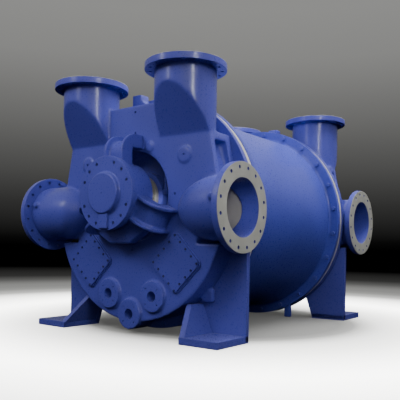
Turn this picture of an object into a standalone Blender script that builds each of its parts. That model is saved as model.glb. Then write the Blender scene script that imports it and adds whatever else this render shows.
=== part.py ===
"""Liquid ring vacuum pump: a horizontal casing between two mirrored heads, on four feet.

Metres, +Z up, +X to the right of the non-drive end, which faces -Y. Every piece is modelled for
the front end and turned half round the vertical axis for the rear end, which carries the drive.
"""

import math

import bmesh
import bpy
from mathutils import Matrix, Vector

# Casing, port plates and head flanges, measured from the middle of the pump
CASING_AXIS_Z = 0.908
BARREL_RADIUS = 0.803
FLANGE_RADIUS = 0.890
CASING_FLANGE_START = 0.666
CASING_FLANGE_END = 0.712
PORT_PLATE_END = 0.752
HEAD_FLANGE_END = 0.800
FIT_GAP = 0.0003
LUG_X = 0.390
LUG_WIDTH = 0.060
LUG_TOP_Z = 0.120
LUG_BOTTOM_Z = 0.008
LUG_INSET = 0.004
LUG_THICKNESS = 0.038

# Head casting
FACE_Y = 1.045
DRUM_RADIUS = 0.820
LEDGE_Z = 0.672
WAIST_HALF_WIDTH = 0.600
SHOULDER_Z = 1.139
SHOULDER_HALF_WIDTH = 0.757
ROOF_Z = 1.443
ROOF_HALF_WIDTH = 0.690
FACE_PLATE_THICKNESS = 0.056
POCKET_X = 0.640
POCKET_ROOF_Z = 1.385
POCKET_FLOOR_Z = 1.128
POCKET_BACK_Y = 0.850
TOWER_HALF_WIDTH = 0.268
TOWER_TOP_Z = 1.695
LUG_EYE_FRONT_Y = 0.885
LUG_EYE_BACK_Y = 0.795
LUG_EYE_HALF_WIDTH = 0.175
LUG_EYE_TOP_Z = 1.830
LUG_EAR_INNER_X = 0.085
LUG_NOTCH_Z = 1.776
LUG_SADDLE_Z = 1.757
LUG_SADDLE_HALF_WIDTH = 0.045

# Nozzles
NOZZLE_Y = 1.033
TOP_NOZZLE_X = 0.475
TOP_FACE_Z = 1.915
TOP_FLANGE_RADIUS = 0.287
TOP_PIPE_RADIUS = 0.218
TOP_BORE_RADIUS = 0.192
TOP_BORE_FLOOR_Z = 1.250
TOP_PIPE_FOOT_Z = 1.200
SIDE_FACE_X = 0.967
SIDE_FLANGE_RADIUS = 0.2985
SIDE_PIPE_RADIUS = 0.220
SIDE_BORE_RADIUS = 0.1955
SIDE_ELBOW_X = 0.800
SIDE_ELBOW_REACH = 0.330
SIDE_WEB_HALF_HEIGHT = 0.210
SIDE_WEB_INNER_X = 0.550
SIDE_WEB_OUTER_X = 0.850
NOZZLE_FLANGE_THICKNESS = 0.047
PORT_X = 0.594
PORT_RADIUS = 0.230
PORT_INNER_X = 0.470
PORT_HALF_HEIGHT = 0.190
PORT_FRONT_Y = 1.020
SLOPE_TOP = (1.250, 1.750)
SLOPE_FOOT = (1.045, 1.434)
SLOPE_WALL = 0.026

# Face of the head
SHAFT_Z = 1.018
RECESS_RADIUS = 0.335
RECESS_FLOOR_Y = 0.880
DRAIN_PORTS = ((-0.220, 0.287), (0.220, 0.287), (0.0, 0.146))
DRAIN_PORT_RADIUS = 0.113
DRAIN_PORT_FRONT_Y = 1.072
DRAIN_PORT_BACK_Y = 0.900
DRAIN_HOLE_RADIUS = 0.040
DRAIN_HOLE_DEPTH = 0.110
DRAIN_HOLE_ROUND = 12
PLUG_BOSSES = ((0.487, 1.289, 0.055), (0.160, 1.373, 0.035))
PLUG_BOSS_FRONT_Y = 1.057
COVER_CENTRE = (0.427, 0.537)
COVER_SIDE = 0.310
COVER_THICKNESS = 0.022

# Feet
FOOT_INNER_X = 0.575
FOOT_OUTER_X = 0.892
FOOT_FRONT_Y = 1.195
FOOT_BACK_Y = 0.822
FOOT_BASE_THICKNESS = 0.050
FOOT_WALL_THICKNESS = 0.040
FOOT_WALL_TOP_Z = 0.670
FOOT_RIB_THICKNESS = 0.045
FOOT_RIB_TOP_Z = 0.250
FOOT_RIB_TOP_FRONT_Y = 1.000

# Shaft line
SHAFT_RADIUS = 0.085
SHAFT_END_RADIUS = 0.070
SHAFT_FRONT_Y = -1.290
SHAFT_STEP_Y = 1.290
SHAFT_REAR_Y = 1.600
SLEEVE_RADIUS = 0.115
SLEEVE_START_Y = 0.770
SLEEVE_END_Y = 1.060
RUNNING_GAP = 0.005
BEARING_GAP = 0.0008
STUFFING_BOX_RADIUS = 0.200
STUFFING_BOX_END_Y = 0.940
GLAND_RADIUS = 0.165
GLAND_END_Y = 0.975
KEY_WIDTH = 0.036
KEY_DEPTH = 0.012
KEY_STAND = 0.010
KEY_START_Y = 1.390
KEY_END_Y = 1.590

# Bearing
HOUSING_RADIUS = 0.235
HOUSING_FLANGE_RADIUS = 0.262
HOUSING_START_Y = 1.080
HOUSING_FLANGE_Y = 1.272
HOUSING_END_Y = 1.300
BEARING_COVER_RADIUS = 0.265
BEARING_COVER_END_Y = 1.330
BEARING_BOSS_RADIUS = 0.147
BEARING_BOSS_END_Y = 1.362
COVER_RIB_HALF_WIDTH = 0.042
COVER_RIB_DROP = 0.255
COVER_RIB_END_Y = 1.350
ARM_ANGLES = (90.0, -27.0, 207.0)
ARM_WIDTH = 0.190
ARM_ROOT = 0.150
ARM_TIP = 0.445
ARM_FRONT = ((ARM_ROOT, 1.262), (0.262, 1.262), (0.340, 1.262), (0.405, 1.225), (0.440, 1.150))
ARM_BACK_Y = 1.150
ARM_FOOT_INNER = 0.345
ARM_POCKET_DEPTH = 0.040
ARM_FLANGE_THICKNESS = 0.024
APRON_RADIUS = 0.350
APRON_START_DEGREES = -35.0
APRON_END_DEGREES = -65.0
APRON_BOTTOM_Z = 0.667
APRON_BOTTOM_HALF_WIDTH = 0.095
APRON_BACK_Y = 1.100
APRON_FRONT_Y = 1.190

ROUND = 72
PIPE_ROUND = 32
SMALL_ROUND = 16
SHARP_ANGLE = math.radians(35)
MID_SHIFT_Y = -(SHAFT_REAR_Y - BEARING_BOSS_END_Y) / 2


def clear_scene():
    for item in list(bpy.data.objects):
        bpy.data.objects.remove(item, do_unlink=True)


def make_material(name, colour, roughness, metallic=0.0):
    material = bpy.data.materials.new(name)
    material.use_nodes = True
    shader = material.node_tree.nodes["Principled BSDF"]
    shader.inputs["Base Color"].default_value = (*colour, 1.0)
    shader.inputs["Roughness"].default_value = roughness
    shader.inputs["Metallic"].default_value = metallic
    return material


def finish_mesh(bm, name):
    bmesh.ops.remove_doubles(bm, verts=bm.verts, dist=0.00001)
    bmesh.ops.recalc_face_normals(bm, faces=bm.faces)
    mesh = bpy.data.meshes.new(name)
    bm.to_mesh(mesh)
    bm.free()
    return mesh


def prism(outline, start_y, end_y):
    """An outline of (x, z) points, drawn out along Y."""
    bm = bmesh.new()
    face = bm.faces.new([bm.verts.new((x, start_y, z)) for x, z in outline])
    made = bmesh.ops.extrude_face_region(bm, geom=[face])
    moved = [item for item in made["geom"] if isinstance(item, bmesh.types.BMVert)]
    bmesh.ops.translate(bm, verts=moved, vec=(0.0, end_y - start_y, 0.0))
    return finish_mesh(bm, "prism")


def block(low, high):
    """A box between two corners."""
    outline = ((low[0], low[2]), (high[0], low[2]), (high[0], high[2]), (low[0], high[2]))
    return prism(outline, low[1], high[1])


def rod(start, end, radius, segments=PIPE_ROUND):
    """A plain round bar between two points."""
    start = Vector(start)
    run = Vector(end) - start
    bm = bmesh.new()
    bmesh.ops.create_cone(bm, cap_ends=True, segments=segments, radius1=radius, radius2=radius,
                          depth=run.length)
    turn = run.to_track_quat("Z", "Y").to_matrix().to_4x4()
    bmesh.ops.transform(bm, matrix=Matrix.Translation(start + run / 2) @ turn, verts=bm.verts)
    return finish_mesh(bm, "rod")


def turned(profile, place_by, segments=ROUND, ring=False):
    """A profile of (radius, y) points, spun round the Y axis and then put in its place.

    The profile of a ring closes on itself, and an open profile gets flat ends.
    """
    bm = bmesh.new()
    verts = [bm.verts.new((radius, y, 0.0)) for radius, y in profile]
    edges = [bm.edges.new(pair) for pair in zip(verts, verts[1:])]
    if ring:
        edges.append(bm.edges.new((verts[-1], verts[0])))
    bmesh.ops.spin(bm, geom=verts + edges, cent=(0.0, 0.0, 0.0), axis=(0.0, 1.0, 0.0),
                   angle=math.tau, steps=segments, use_merge=True)
    bmesh.ops.remove_doubles(bm, verts=bm.verts, dist=0.00001)
    bmesh.ops.holes_fill(bm, edges=[edge for edge in bm.edges if edge.is_boundary])
    bmesh.ops.transform(bm, matrix=place_by, verts=bm.verts)
    return finish_mesh(bm, "turned")


def combine(base, joined=(), cut=()):
    """The base mesh with others cast onto it and then others cut out of it."""
    body = bpy.data.objects.new("body", base)
    bpy.context.scene.collection.objects.link(body)
    helpers = []
    steps = [("UNION", mesh) for mesh in joined] + [("DIFFERENCE", mesh) for mesh in cut]
    for operation, mesh in steps:
        helper = bpy.data.objects.new("helper", mesh)
        helper.hide_render = True
        helper.display_type = "WIRE"
        bpy.context.scene.collection.objects.link(helper)
        modifier = body.modifiers.new(operation, "BOOLEAN")
        modifier.operation = operation
        modifier.object = helper
        helpers.append(helper)
    evaluated = body.evaluated_get(bpy.context.evaluated_depsgraph_get())
    result = bpy.data.meshes.new_from_object(evaluated)
    for item in helpers + [body]:
        bpy.data.objects.remove(item, do_unlink=True)
    return result


def place(name, mesh, material, parent, rear=False):
    mesh.materials.clear()
    mesh.materials.append(material)
    mesh.shade_smooth()
    mesh.set_sharp_from_angle(angle=SHARP_ANGLE)
    item = bpy.data.objects.new(name, mesh)
    item.parent = parent
    item.rotation_euler = (0.0, 0.0, math.pi if rear else 0.0)
    bpy.context.scene.collection.objects.link(item)
    return item


def shaft_ring(inner, outer, start_y, end_y, segments=PIPE_ROUND):
    """A plain ring round the shaft's axis, at the front end."""
    profile = ((inner, -start_y), (outer, -start_y), (outer, -end_y), (inner, -end_y))
    return turned(profile, Matrix.Translation((0.0, 0.0, SHAFT_Z)), segments, ring=True)


def casing():
    half = [(FLANGE_RADIUS, CASING_FLANGE_END), (FLANGE_RADIUS, CASING_FLANGE_START),
            (BARREL_RADIUS, CASING_FLANGE_START)]
    outline = half + [(radius, -y) for radius, y in reversed(half)]
    body = turned(outline, Matrix.Translation((0.0, 0.0, CASING_AXIS_Z)))
    lugs = [block((side * LUG_X - LUG_WIDTH / 2, low_y, LUG_BOTTOM_Z),
                  (side * LUG_X + LUG_WIDTH / 2, low_y + LUG_THICKNESS, LUG_TOP_Z))
            for side in (-1, 1) for low_y in (-CASING_FLANGE_END + LUG_INSET,
                                              CASING_FLANGE_START + LUG_INSET)]
    bore = rod((0.0, -1.0, SHAFT_Z), (0.0, 1.0, SHAFT_Z), SHAFT_RADIUS + RUNNING_GAP)
    return combine(body, lugs, [bore])


def port_plate():
    disc = rod((0.0, -PORT_PLATE_END + FIT_GAP, CASING_AXIS_Z),
               (0.0, -CASING_FLANGE_END - FIT_GAP, CASING_AXIS_Z), FLANGE_RADIUS, ROUND)
    bore = rod((0.0, -1.0, SHAFT_Z), (0.0, 0.0, SHAFT_Z), SHAFT_RADIUS + RUNNING_GAP)
    return combine(disc, cut=[bore])


def arc(radius, centre_z, start_degrees, end_degrees, steps):
    """Points (x, z) along a circle about the machine's middle plane."""
    angles = [math.radians(start_degrees + (end_degrees - start_degrees) * step / steps)
              for step in range(steps + 1)]
    return [(radius * math.cos(a), centre_z + radius * math.sin(a)) for a in angles]


def trim_by_slope(mesh, setback=0.0):
    """Cuts an upright pipe or bore along the slope below a top nozzle, or a distance inside it."""
    top = Vector((0.0, -SLOPE_TOP[0], SLOPE_TOP[1]))
    foot = Vector((0.0, -SLOPE_FOOT[0], SLOPE_FOOT[1]))
    along = (foot - top).normalized()
    outward = Vector((0.0, along.z, -along.y))
    bm = bmesh.new()
    bm.from_mesh(mesh)
    cut = bmesh.ops.bisect_plane(bm, geom=bm.verts[:] + bm.edges[:] + bm.faces[:],
                                 plane_co=top - outward * setback, plane_no=outward,
                                 clear_outer=True)
    rim = [item for item in cut["geom_cut"] if isinstance(item, bmesh.types.BMEdge)]
    bmesh.ops.contextual_create(bm, geom=rim)
    return finish_mesh(bm, "trimmed")


def ellipse_quarter(centre_x, reach, radius, steps=6):
    """Points (x, radius) from the tip of a rounded end up to the full radius."""
    angles = [math.pi / 2 * step / steps for step in range(steps + 1)]
    return [(centre_x - reach * math.cos(a), radius * math.sin(a)) for a in angles]


def side_nozzle(side):
    """The rounded elbow, neck and flange of a side nozzle, turned round a crosswise axis."""
    flange_x = SIDE_FACE_X - NOZZLE_FLANGE_THICKNESS
    outline = ellipse_quarter(SIDE_ELBOW_X, SIDE_ELBOW_REACH, SIDE_PIPE_RADIUS)
    outline += [(flange_x, SIDE_PIPE_RADIUS), (flange_x, SIDE_FLANGE_RADIUS),
                (SIDE_FACE_X, SIDE_FLANGE_RADIUS)]
    turn = Matrix.Rotation(-side * math.pi / 2, 4, "Z")
    move = Matrix.Translation((0.0, -NOZZLE_Y, CASING_AXIS_Z))
    return turned([(radius, x) for x, radius in outline], move @ turn, PIPE_ROUND)


def top_nozzle(side):
    """The upright pipe and flange of a top nozzle, sloped off at the front of the pipe."""
    flange_z = TOP_FACE_Z - NOZZLE_FLANGE_THICKNESS
    outline = [(TOP_PIPE_RADIUS, TOP_PIPE_FOOT_Z), (TOP_PIPE_RADIUS, flange_z),
               (TOP_FLANGE_RADIUS, flange_z), (TOP_FLANGE_RADIUS, TOP_FACE_Z)]
    turn = Matrix.Rotation(math.pi / 2, 4, "X")
    move = Matrix.Translation((side * TOP_NOZZLE_X, -NOZZLE_Y, 0.0))
    return trim_by_slope(turned(outline, move @ turn, PIPE_ROUND))


def face_outline():
    """The outline (x, z) of the head seen from the front, without its nozzles."""
    ledge_angle = math.degrees(math.asin((LEDGE_Z - CASING_AXIS_Z) / DRUM_RADIUS))
    drum = arc(DRUM_RADIUS, CASING_AXIS_Z, ledge_angle, -90.0, ROUND // 4)[:-1]
    upper = [(TOWER_HALF_WIDTH, TOWER_TOP_Z), (TOWER_HALF_WIDTH, ROOF_Z),
             (ROOF_HALF_WIDTH, ROOF_Z), (SHOULDER_HALF_WIDTH, SHOULDER_Z),
             (WAIST_HALF_WIDTH, SHOULDER_Z), (WAIST_HALF_WIDTH, LEDGE_Z)]
    right = upper + drum
    lowest = [(0.0, CASING_AXIS_Z - DRUM_RADIUS)]
    return right + lowest + [(-x, z) for x, z in reversed(right)]


def head_shapes():
    """The solid lumps that are cast onto the head's flange."""
    back = -HEAD_FLANGE_END + 0.010
    eye = [(LUG_EYE_HALF_WIDTH, TOWER_TOP_Z - 0.020), (LUG_EYE_HALF_WIDTH, LUG_EYE_TOP_Z),
           (LUG_EAR_INNER_X, LUG_EYE_TOP_Z), (LUG_EAR_INNER_X, LUG_NOTCH_Z),
           (LUG_SADDLE_HALF_WIDTH, LUG_SADDLE_Z)]
    eye += [(-x, z) for x, z in reversed(eye)]
    shapes = [
        prism(face_outline(), -FACE_Y, back),
        prism(eye, -LUG_EYE_FRONT_Y, -LUG_EYE_BACK_Y),
    ]
    for side in (-1, 1):
        near = min(side * SIDE_WEB_INNER_X, side * SIDE_WEB_OUTER_X)
        far = max(side * SIDE_WEB_INNER_X, side * SIDE_WEB_OUTER_X)
        shapes += [
            top_nozzle(side),
            side_nozzle(side),
            block((near, -NOZZLE_Y, CASING_AXIS_Z - SIDE_WEB_HALF_HEIGHT),
                  (far, back, CASING_AXIS_Z + SIDE_WEB_HALF_HEIGHT)),
        ]
        shapes += [rod((side * x, -PLUG_BOSS_FRONT_Y, z), (side * x, -FACE_Y + 0.010, z), radius,
                       SMALL_ROUND) for x, z, radius in PLUG_BOSSES]
    shapes += [rod((x, -DRAIN_PORT_FRONT_Y, z), (x, -DRAIN_PORT_BACK_Y, z), DRAIN_PORT_RADIUS,
                   SMALL_ROUND) for x, z in DRAIN_PORTS]
    return shapes


def port_outline(side):
    """The outline (x, z) of a port: round on its outer side, flat above, below and inside."""
    limit = math.degrees(math.asin(PORT_HALF_HEIGHT / PORT_RADIUS))
    outer = [(PORT_X + x, z) for x, z in arc(PORT_RADIUS, CASING_AXIS_Z, limit, -limit, 8)]
    outline = [(PORT_INNER_X, outer[0][1])] + outer + [(PORT_INNER_X, outer[-1][1])]
    return [(side * x, z) for x, z in outline]


def head_cuts():
    """The hollows of the head casting."""
    cuts = [
        rod((0.0, -FACE_Y - 0.100, SHAFT_Z), (0.0, -RECESS_FLOOR_Y, SHAFT_Z), RECESS_RADIUS),
        rod((0.0, -FACE_Y, SHAFT_Z), (0.0, 0.0, SHAFT_Z), SLEEVE_RADIUS + RUNNING_GAP),
    ]
    for side in (-1, 1):
        near = min(side * POCKET_X, side * 0.900)
        far = max(side * POCKET_X, side * 0.900)
        cuts += [
            block((near, -FACE_Y + FACE_PLATE_THICKNESS, POCKET_FLOOR_Z),
                  (far, -POCKET_BACK_Y, POCKET_ROOF_Z)),
            trim_by_slope(rod((side * TOP_NOZZLE_X, -NOZZLE_Y, TOP_BORE_FLOOR_Z),
                              (side * TOP_NOZZLE_X, -NOZZLE_Y, TOP_FACE_Z + 0.050),
                              TOP_BORE_RADIUS), SLOPE_WALL),
            rod((side * (SIDE_ELBOW_X - 0.100), -NOZZLE_Y, CASING_AXIS_Z),
                (side * (SIDE_FACE_X + 0.050), -NOZZLE_Y, CASING_AXIS_Z), SIDE_BORE_RADIUS),
            prism(port_outline(side), -PORT_FRONT_Y, 0.0),
        ]
    cuts += [rod((x, -DRAIN_PORT_FRONT_Y - 0.010, z),
                 (x, -DRAIN_PORT_FRONT_Y + DRAIN_HOLE_DEPTH, z), DRAIN_HOLE_RADIUS, DRAIN_HOLE_ROUND)
             for x, z in DRAIN_PORTS]
    return cuts


def head():
    flange = rod((0.0, -HEAD_FLANGE_END, CASING_AXIS_Z),
                 (0.0, -PORT_PLATE_END - FIT_GAP, CASING_AXIS_Z), FLANGE_RADIUS, ROUND)
    return combine(flange, head_shapes(), head_cuts())


def cover_plate(side):
    """A square cover standing on its corner, on the head's face."""
    reach = COVER_SIDE / math.sqrt(2)
    corners = [(reach, 0.0), (0.0, reach), (-reach, 0.0), (0.0, -reach)]
    outline = [(side * COVER_CENTRE[0] + x, COVER_CENTRE[1] + z) for x, z in corners]
    return prism(outline, -FACE_Y - FIT_GAP - COVER_THICKNESS, -FACE_Y - FIT_GAP)


def foot(side):
    """A base plate, an upright wall against the head's flange, and a leaning rib."""
    start = math.degrees(math.asin((FOOT_WALL_TOP_Z - CASING_AXIS_Z) / DRUM_RADIUS))
    rib_angle = math.degrees(math.asin((FOOT_RIB_TOP_Z - CASING_AXIS_Z) / DRUM_RADIUS))
    inner = arc(DRUM_RADIUS + FIT_GAP, CASING_AXIS_Z, start, rib_angle, 16)
    rib_top_x = inner[-1][0]
    wall = [(FOOT_OUTER_X, FOOT_WALL_TOP_Z)] + inner
    wall += [(FOOT_INNER_X, 0.010), (FOOT_OUTER_X, 0.010)]
    wall = [(side * x, z) for x, z in wall]
    low = (min(side * FOOT_INNER_X, side * FOOT_OUTER_X), -FOOT_FRONT_Y, 0.0)
    high = (max(side * FOOT_INNER_X, side * FOOT_OUTER_X), -FOOT_BACK_Y, FOOT_BASE_THICKNESS)
    return combine(block(low, high),
                   [prism(wall, -FOOT_BACK_Y - FOOT_WALL_THICKNESS, -FOOT_BACK_Y),
                    foot_rib(side, rib_top_x)])


def foot_rib(side, top_x):
    """The leaning rib between a foot's base plate and the drum of the head."""
    back = -FOOT_BACK_Y - FOOT_WALL_THICKNESS + 0.010
    bm = bmesh.new()
    corners = [(FOOT_INNER_X, -FOOT_FRONT_Y, FOOT_BASE_THICKNESS - 0.010),
               (FOOT_INNER_X, back, FOOT_BASE_THICKNESS - 0.010),
               (top_x, back, FOOT_RIB_TOP_Z),
               (top_x, -FOOT_RIB_TOP_FRONT_Y, FOOT_RIB_TOP_Z)]
    face = bm.faces.new([bm.verts.new((side * x, y, z)) for x, y, z in corners])
    made = bmesh.ops.extrude_face_region(bm, geom=[face])
    moved = [item for item in made["geom"] if isinstance(item, bmesh.types.BMVert)]
    bmesh.ops.translate(bm, verts=moved, vec=(side * FOOT_RIB_THICKNESS, 0.0, 0.0))
    return finish_mesh(bm, "rib")


def bearing_bracket():
    """The bearing housing with its three arms, which stand on the head's face, and its apron."""
    inner = SHAFT_RADIUS + BEARING_GAP
    profile = ((inner, -HOUSING_START_Y), (HOUSING_RADIUS, -HOUSING_START_Y),
               (HOUSING_RADIUS, -HOUSING_FLANGE_Y), (HOUSING_FLANGE_RADIUS, -HOUSING_FLANGE_Y),
               (HOUSING_FLANGE_RADIUS, -HOUSING_END_Y + FIT_GAP),
               (inner, -HOUSING_END_Y + FIT_GAP))
    place_by = Matrix.Translation((0.0, 0.0, SHAFT_Z))
    housing = turned(profile, place_by, PIPE_ROUND, ring=True)
    arms = [bracket_arm(angle) for angle in ARM_ANGLES]
    apron = prism(apron_outline(), -APRON_FRONT_Y, -APRON_BACK_Y)
    bore = rod((0.0, -2.0, SHAFT_Z), (0.0, 0.0, SHAFT_Z), inner)
    return combine(housing, arms + [apron], [bore])


def apron_outline():
    """The outline (x, z) of the bowl between the two lower arms, with its flat bottom."""
    right = arc(APRON_RADIUS, SHAFT_Z, APRON_START_DEGREES, APRON_END_DEGREES, 4)
    right.append((APRON_BOTTOM_HALF_WIDTH, APRON_BOTTOM_Z))
    return right + [(-x, z) for x, z in reversed(right)]


def bracket_arm(degrees):
    """One arm: a channel that reaches out from the housing and turns down to the head's face."""
    half = ARM_WIDTH / 2
    foot_y = -FACE_Y - FIT_GAP
    outline = [(ARM_ROOT, -ARM_BACK_Y)] + [(r, -y) for r, y in ARM_FRONT]
    outline += [(ARM_TIP, foot_y), (ARM_FOOT_INNER, foot_y), (ARM_FOOT_INNER, -ARM_BACK_Y)]
    outer = arm_slab(outline, -half, half)
    hollow = half - ARM_FLANGE_THICKNESS
    floor = [(r - ARM_POCKET_DEPTH, -y + ARM_POCKET_DEPTH) for r, y in ARM_FRONT[1:]]
    floor.append((ARM_TIP - ARM_POCKET_DEPTH, -FACE_Y + ARM_POCKET_DEPTH))
    ahead = -HOUSING_END_Y - ARM_WIDTH
    beyond = ARM_TIP + ARM_WIDTH
    mouth = [(beyond, floor[-1][1]), (beyond, ahead), (floor[0][0], ahead)]
    arm = combine(outer, cut=[arm_slab(floor + mouth, -hollow, hollow)])
    bm = bmesh.new()
    bm.from_mesh(arm)
    turn = Matrix.Rotation(math.radians(-degrees), 4, "Y")
    bmesh.ops.transform(bm, matrix=Matrix.Translation((0.0, 0.0, SHAFT_Z)) @ turn, verts=bm.verts)
    return finish_mesh(bm, "arm")


def arm_slab(outline, low_z, high_z):
    """An outline of (x, y) points, drawn out along Z."""
    bm = bmesh.new()
    face = bm.faces.new([bm.verts.new((x, y, low_z)) for x, y in outline])
    made = bmesh.ops.extrude_face_region(bm, geom=[face])
    moved = [item for item in made["geom"] if isinstance(item, bmesh.types.BMVert)]
    bmesh.ops.translate(bm, verts=moved, vec=(0.0, 0.0, high_z - low_z))
    return finish_mesh(bm, "slab")


def bearing_cover(shaft_hole):
    """The round cover on the bearing housing; the drive end's has the shaft through it."""
    disc = rod((0.0, -BEARING_COVER_END_Y, SHAFT_Z), (0.0, -HOUSING_END_Y, SHAFT_Z),
               BEARING_COVER_RADIUS)
    boss = rod((0.0, -BEARING_BOSS_END_Y, SHAFT_Z), (0.0, -BEARING_COVER_END_Y + 0.010, SHAFT_Z),
               BEARING_BOSS_RADIUS)
    rib = block((-COVER_RIB_HALF_WIDTH, -COVER_RIB_END_Y, SHAFT_Z - COVER_RIB_DROP),
                (COVER_RIB_HALF_WIDTH, -BEARING_COVER_END_Y + 0.010, SHAFT_Z - SHAFT_END_RADIUS * 1.5))
    cuts = []
    if shaft_hole:
        cuts.append(rod((0.0, -2.0, SHAFT_Z), (0.0, 0.0, SHAFT_Z), SHAFT_END_RADIUS + RUNNING_GAP))
    return combine(disc, [boss, rib], cuts)


def shaft():
    front = rod((0.0, SHAFT_FRONT_Y, SHAFT_Z), (0.0, SHAFT_STEP_Y, SHAFT_Z), SHAFT_RADIUS)
    end = rod((0.0, SHAFT_STEP_Y - 0.010, SHAFT_Z), (0.0, SHAFT_REAR_Y, SHAFT_Z), SHAFT_END_RADIUS)
    top = SHAFT_Z + SHAFT_END_RADIUS
    keyway = block((-KEY_WIDTH / 2 - FIT_GAP, KEY_START_Y - FIT_GAP, top - KEY_DEPTH - FIT_GAP),
                   (KEY_WIDTH / 2 + FIT_GAP, KEY_END_Y + FIT_GAP, top + 0.050))
    return combine(front, [end], [keyway])


def drive_key():
    top = SHAFT_Z + SHAFT_END_RADIUS
    return block((-KEY_WIDTH / 2, KEY_START_Y, top - KEY_DEPTH),
                 (KEY_WIDTH / 2, KEY_END_Y, top + KEY_STAND))


def build():
    clear_scene()
    paint = make_material("blue_paint", (0.045, 0.080, 0.380), 0.35)
    steel = make_material("bright_steel", (0.560, 0.550, 0.530), 0.30, 1.0)
    bronze = make_material("sleeve_bronze", (0.780, 0.660, 0.380), 0.35, 1.0)
    iron = make_material("bare_iron", (0.420, 0.400, 0.360), 0.50, 0.6)

    pump = bpy.data.objects.new("pump_middle", None)
    pump.location = (0.0, MID_SHIFT_Y, 0.0)
    bpy.context.scene.collection.objects.link(pump)

    place("casing", casing(), paint, pump)
    place("shaft", shaft(), steel, pump)
    place("drive_key", drive_key(), steel, pump)

    shared = {
        "port_plate": (port_plate(), iron),
        "head": (head(), paint),
        "bearing_bracket": (bearing_bracket(), paint),
        "stuffing_box": (shaft_ring(SLEEVE_RADIUS + RUNNING_GAP, STUFFING_BOX_RADIUS,
                                    RECESS_FLOOR_Y + FIT_GAP, STUFFING_BOX_END_Y), paint),
        "packing_gland": (shaft_ring(SLEEVE_RADIUS + RUNNING_GAP, GLAND_RADIUS,
                                     STUFFING_BOX_END_Y + FIT_GAP, GLAND_END_Y), iron),
        "shaft_sleeve": (shaft_ring(SHAFT_RADIUS + FIT_GAP, SLEEVE_RADIUS,
                                    SLEEVE_START_Y, SLEEVE_END_Y), bronze),
    }
    for name, (mesh, material) in shared.items():
        place("front_" + name, mesh, material, pump)
        place("rear_" + name, mesh, material, pump, rear=True)
    for side, front, rear in ((1, "right", "left"), (-1, "left", "right")):
        for name, mesh in (("foot", foot(side)), ("cover_plate", cover_plate(side))):
            place(f"front_{front}_{name}", mesh, paint, pump)
            place(f"rear_{rear}_{name}", mesh, paint, pump, rear=True)
    place("front_bearing_cover", bearing_cover(False), paint, pump)
    place("rear_bearing_cover", bearing_cover(True), paint, pump, rear=True)


build()
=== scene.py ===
import math

import bmesh
import bpy
import numpy as np
from mathutils import Matrix, Vector


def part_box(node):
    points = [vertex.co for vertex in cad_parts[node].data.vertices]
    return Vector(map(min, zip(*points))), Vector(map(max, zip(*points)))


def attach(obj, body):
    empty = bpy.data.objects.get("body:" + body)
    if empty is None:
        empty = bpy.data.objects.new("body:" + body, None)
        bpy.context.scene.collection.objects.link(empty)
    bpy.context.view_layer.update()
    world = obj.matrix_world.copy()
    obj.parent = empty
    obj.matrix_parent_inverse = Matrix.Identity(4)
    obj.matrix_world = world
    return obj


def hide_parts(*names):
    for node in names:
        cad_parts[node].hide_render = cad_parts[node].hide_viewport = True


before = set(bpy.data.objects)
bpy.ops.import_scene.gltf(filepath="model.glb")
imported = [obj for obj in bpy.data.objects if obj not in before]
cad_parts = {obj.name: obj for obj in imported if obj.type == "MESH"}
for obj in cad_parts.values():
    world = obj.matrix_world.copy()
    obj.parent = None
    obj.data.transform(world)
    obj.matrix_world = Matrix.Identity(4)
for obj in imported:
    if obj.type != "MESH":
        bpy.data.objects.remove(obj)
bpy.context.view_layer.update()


# Casing: the barrel that the impeller runs in, one grey iron casting under blue enamel.
# Its two flanges are turned flat and bolted between the heads, and the barrel runs into
# each of them in a fillet. Small lugs at the bottom steady it before the feet are on.
casing_low, casing_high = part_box("casing")
MIDDLE_Y = (casing_low.y + casing_high.y) / 2
HALF_LENGTH = casing_high.y - MIDDLE_Y
FLANGE_RADIUS = casing_high.x
AXIS_Z = casing_high.z - FLANGE_RADIUS
BARREL_RADIUS = 0.803
FLANGE_THICKNESS = 0.046
CASING_BORE_RADIUS = 0.090
BARREL_FILLET = 0.026
RIM_ROUND = 0.005
LUG_X = 0.390
LUG_WIDTH = 0.060
LUG_THICKNESS = 0.038
LUG_BOTTOM_Z = 0.008
LUG_TOP_Z = 0.125
LUG_SETBACK = 0.004
LUG_ROUND = 0.007
NEARBY = 0.004
SHARP_EDGE = math.radians(30)
FRONT_TURN = Matrix.Translation((0.0, MIDDLE_Y, 0.0))
REAR_TURN = FRONT_TURN @ Matrix.Rotation(math.pi, 4, "Z")
ENDS = (("front", FRONT_TURN, {1: "right", -1: "left"}),
        ("rear", REAR_TURN, {1: "left", -1: "right"}))


def add_node(material, kind, values=None, **settings):
    """A shader node with its settings and the values of its inputs."""
    made = material.node_tree.nodes.new(kind)
    for name, setting in settings.items():
        setattr(made, name, setting)
    for name, value in (values or {}).items():
        made.inputs[name].default_value = value
    return made


def blank_finish(name, roughness, metallic=0.0, coat=0.0, coat_roughness=0.1):
    """A material with only its shader, whose even values are set on the shader itself."""
    material = bpy.data.materials.new(name)
    material.use_nodes = True
    shader = material.node_tree.nodes["Principled BSDF"]
    shader.inputs["Roughness"].default_value = roughness
    shader.inputs["Metallic"].default_value = metallic
    shader.inputs["Coat Weight"].default_value = coat
    shader.inputs["Coat Roughness"].default_value = coat_roughness
    return material, shader


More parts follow.
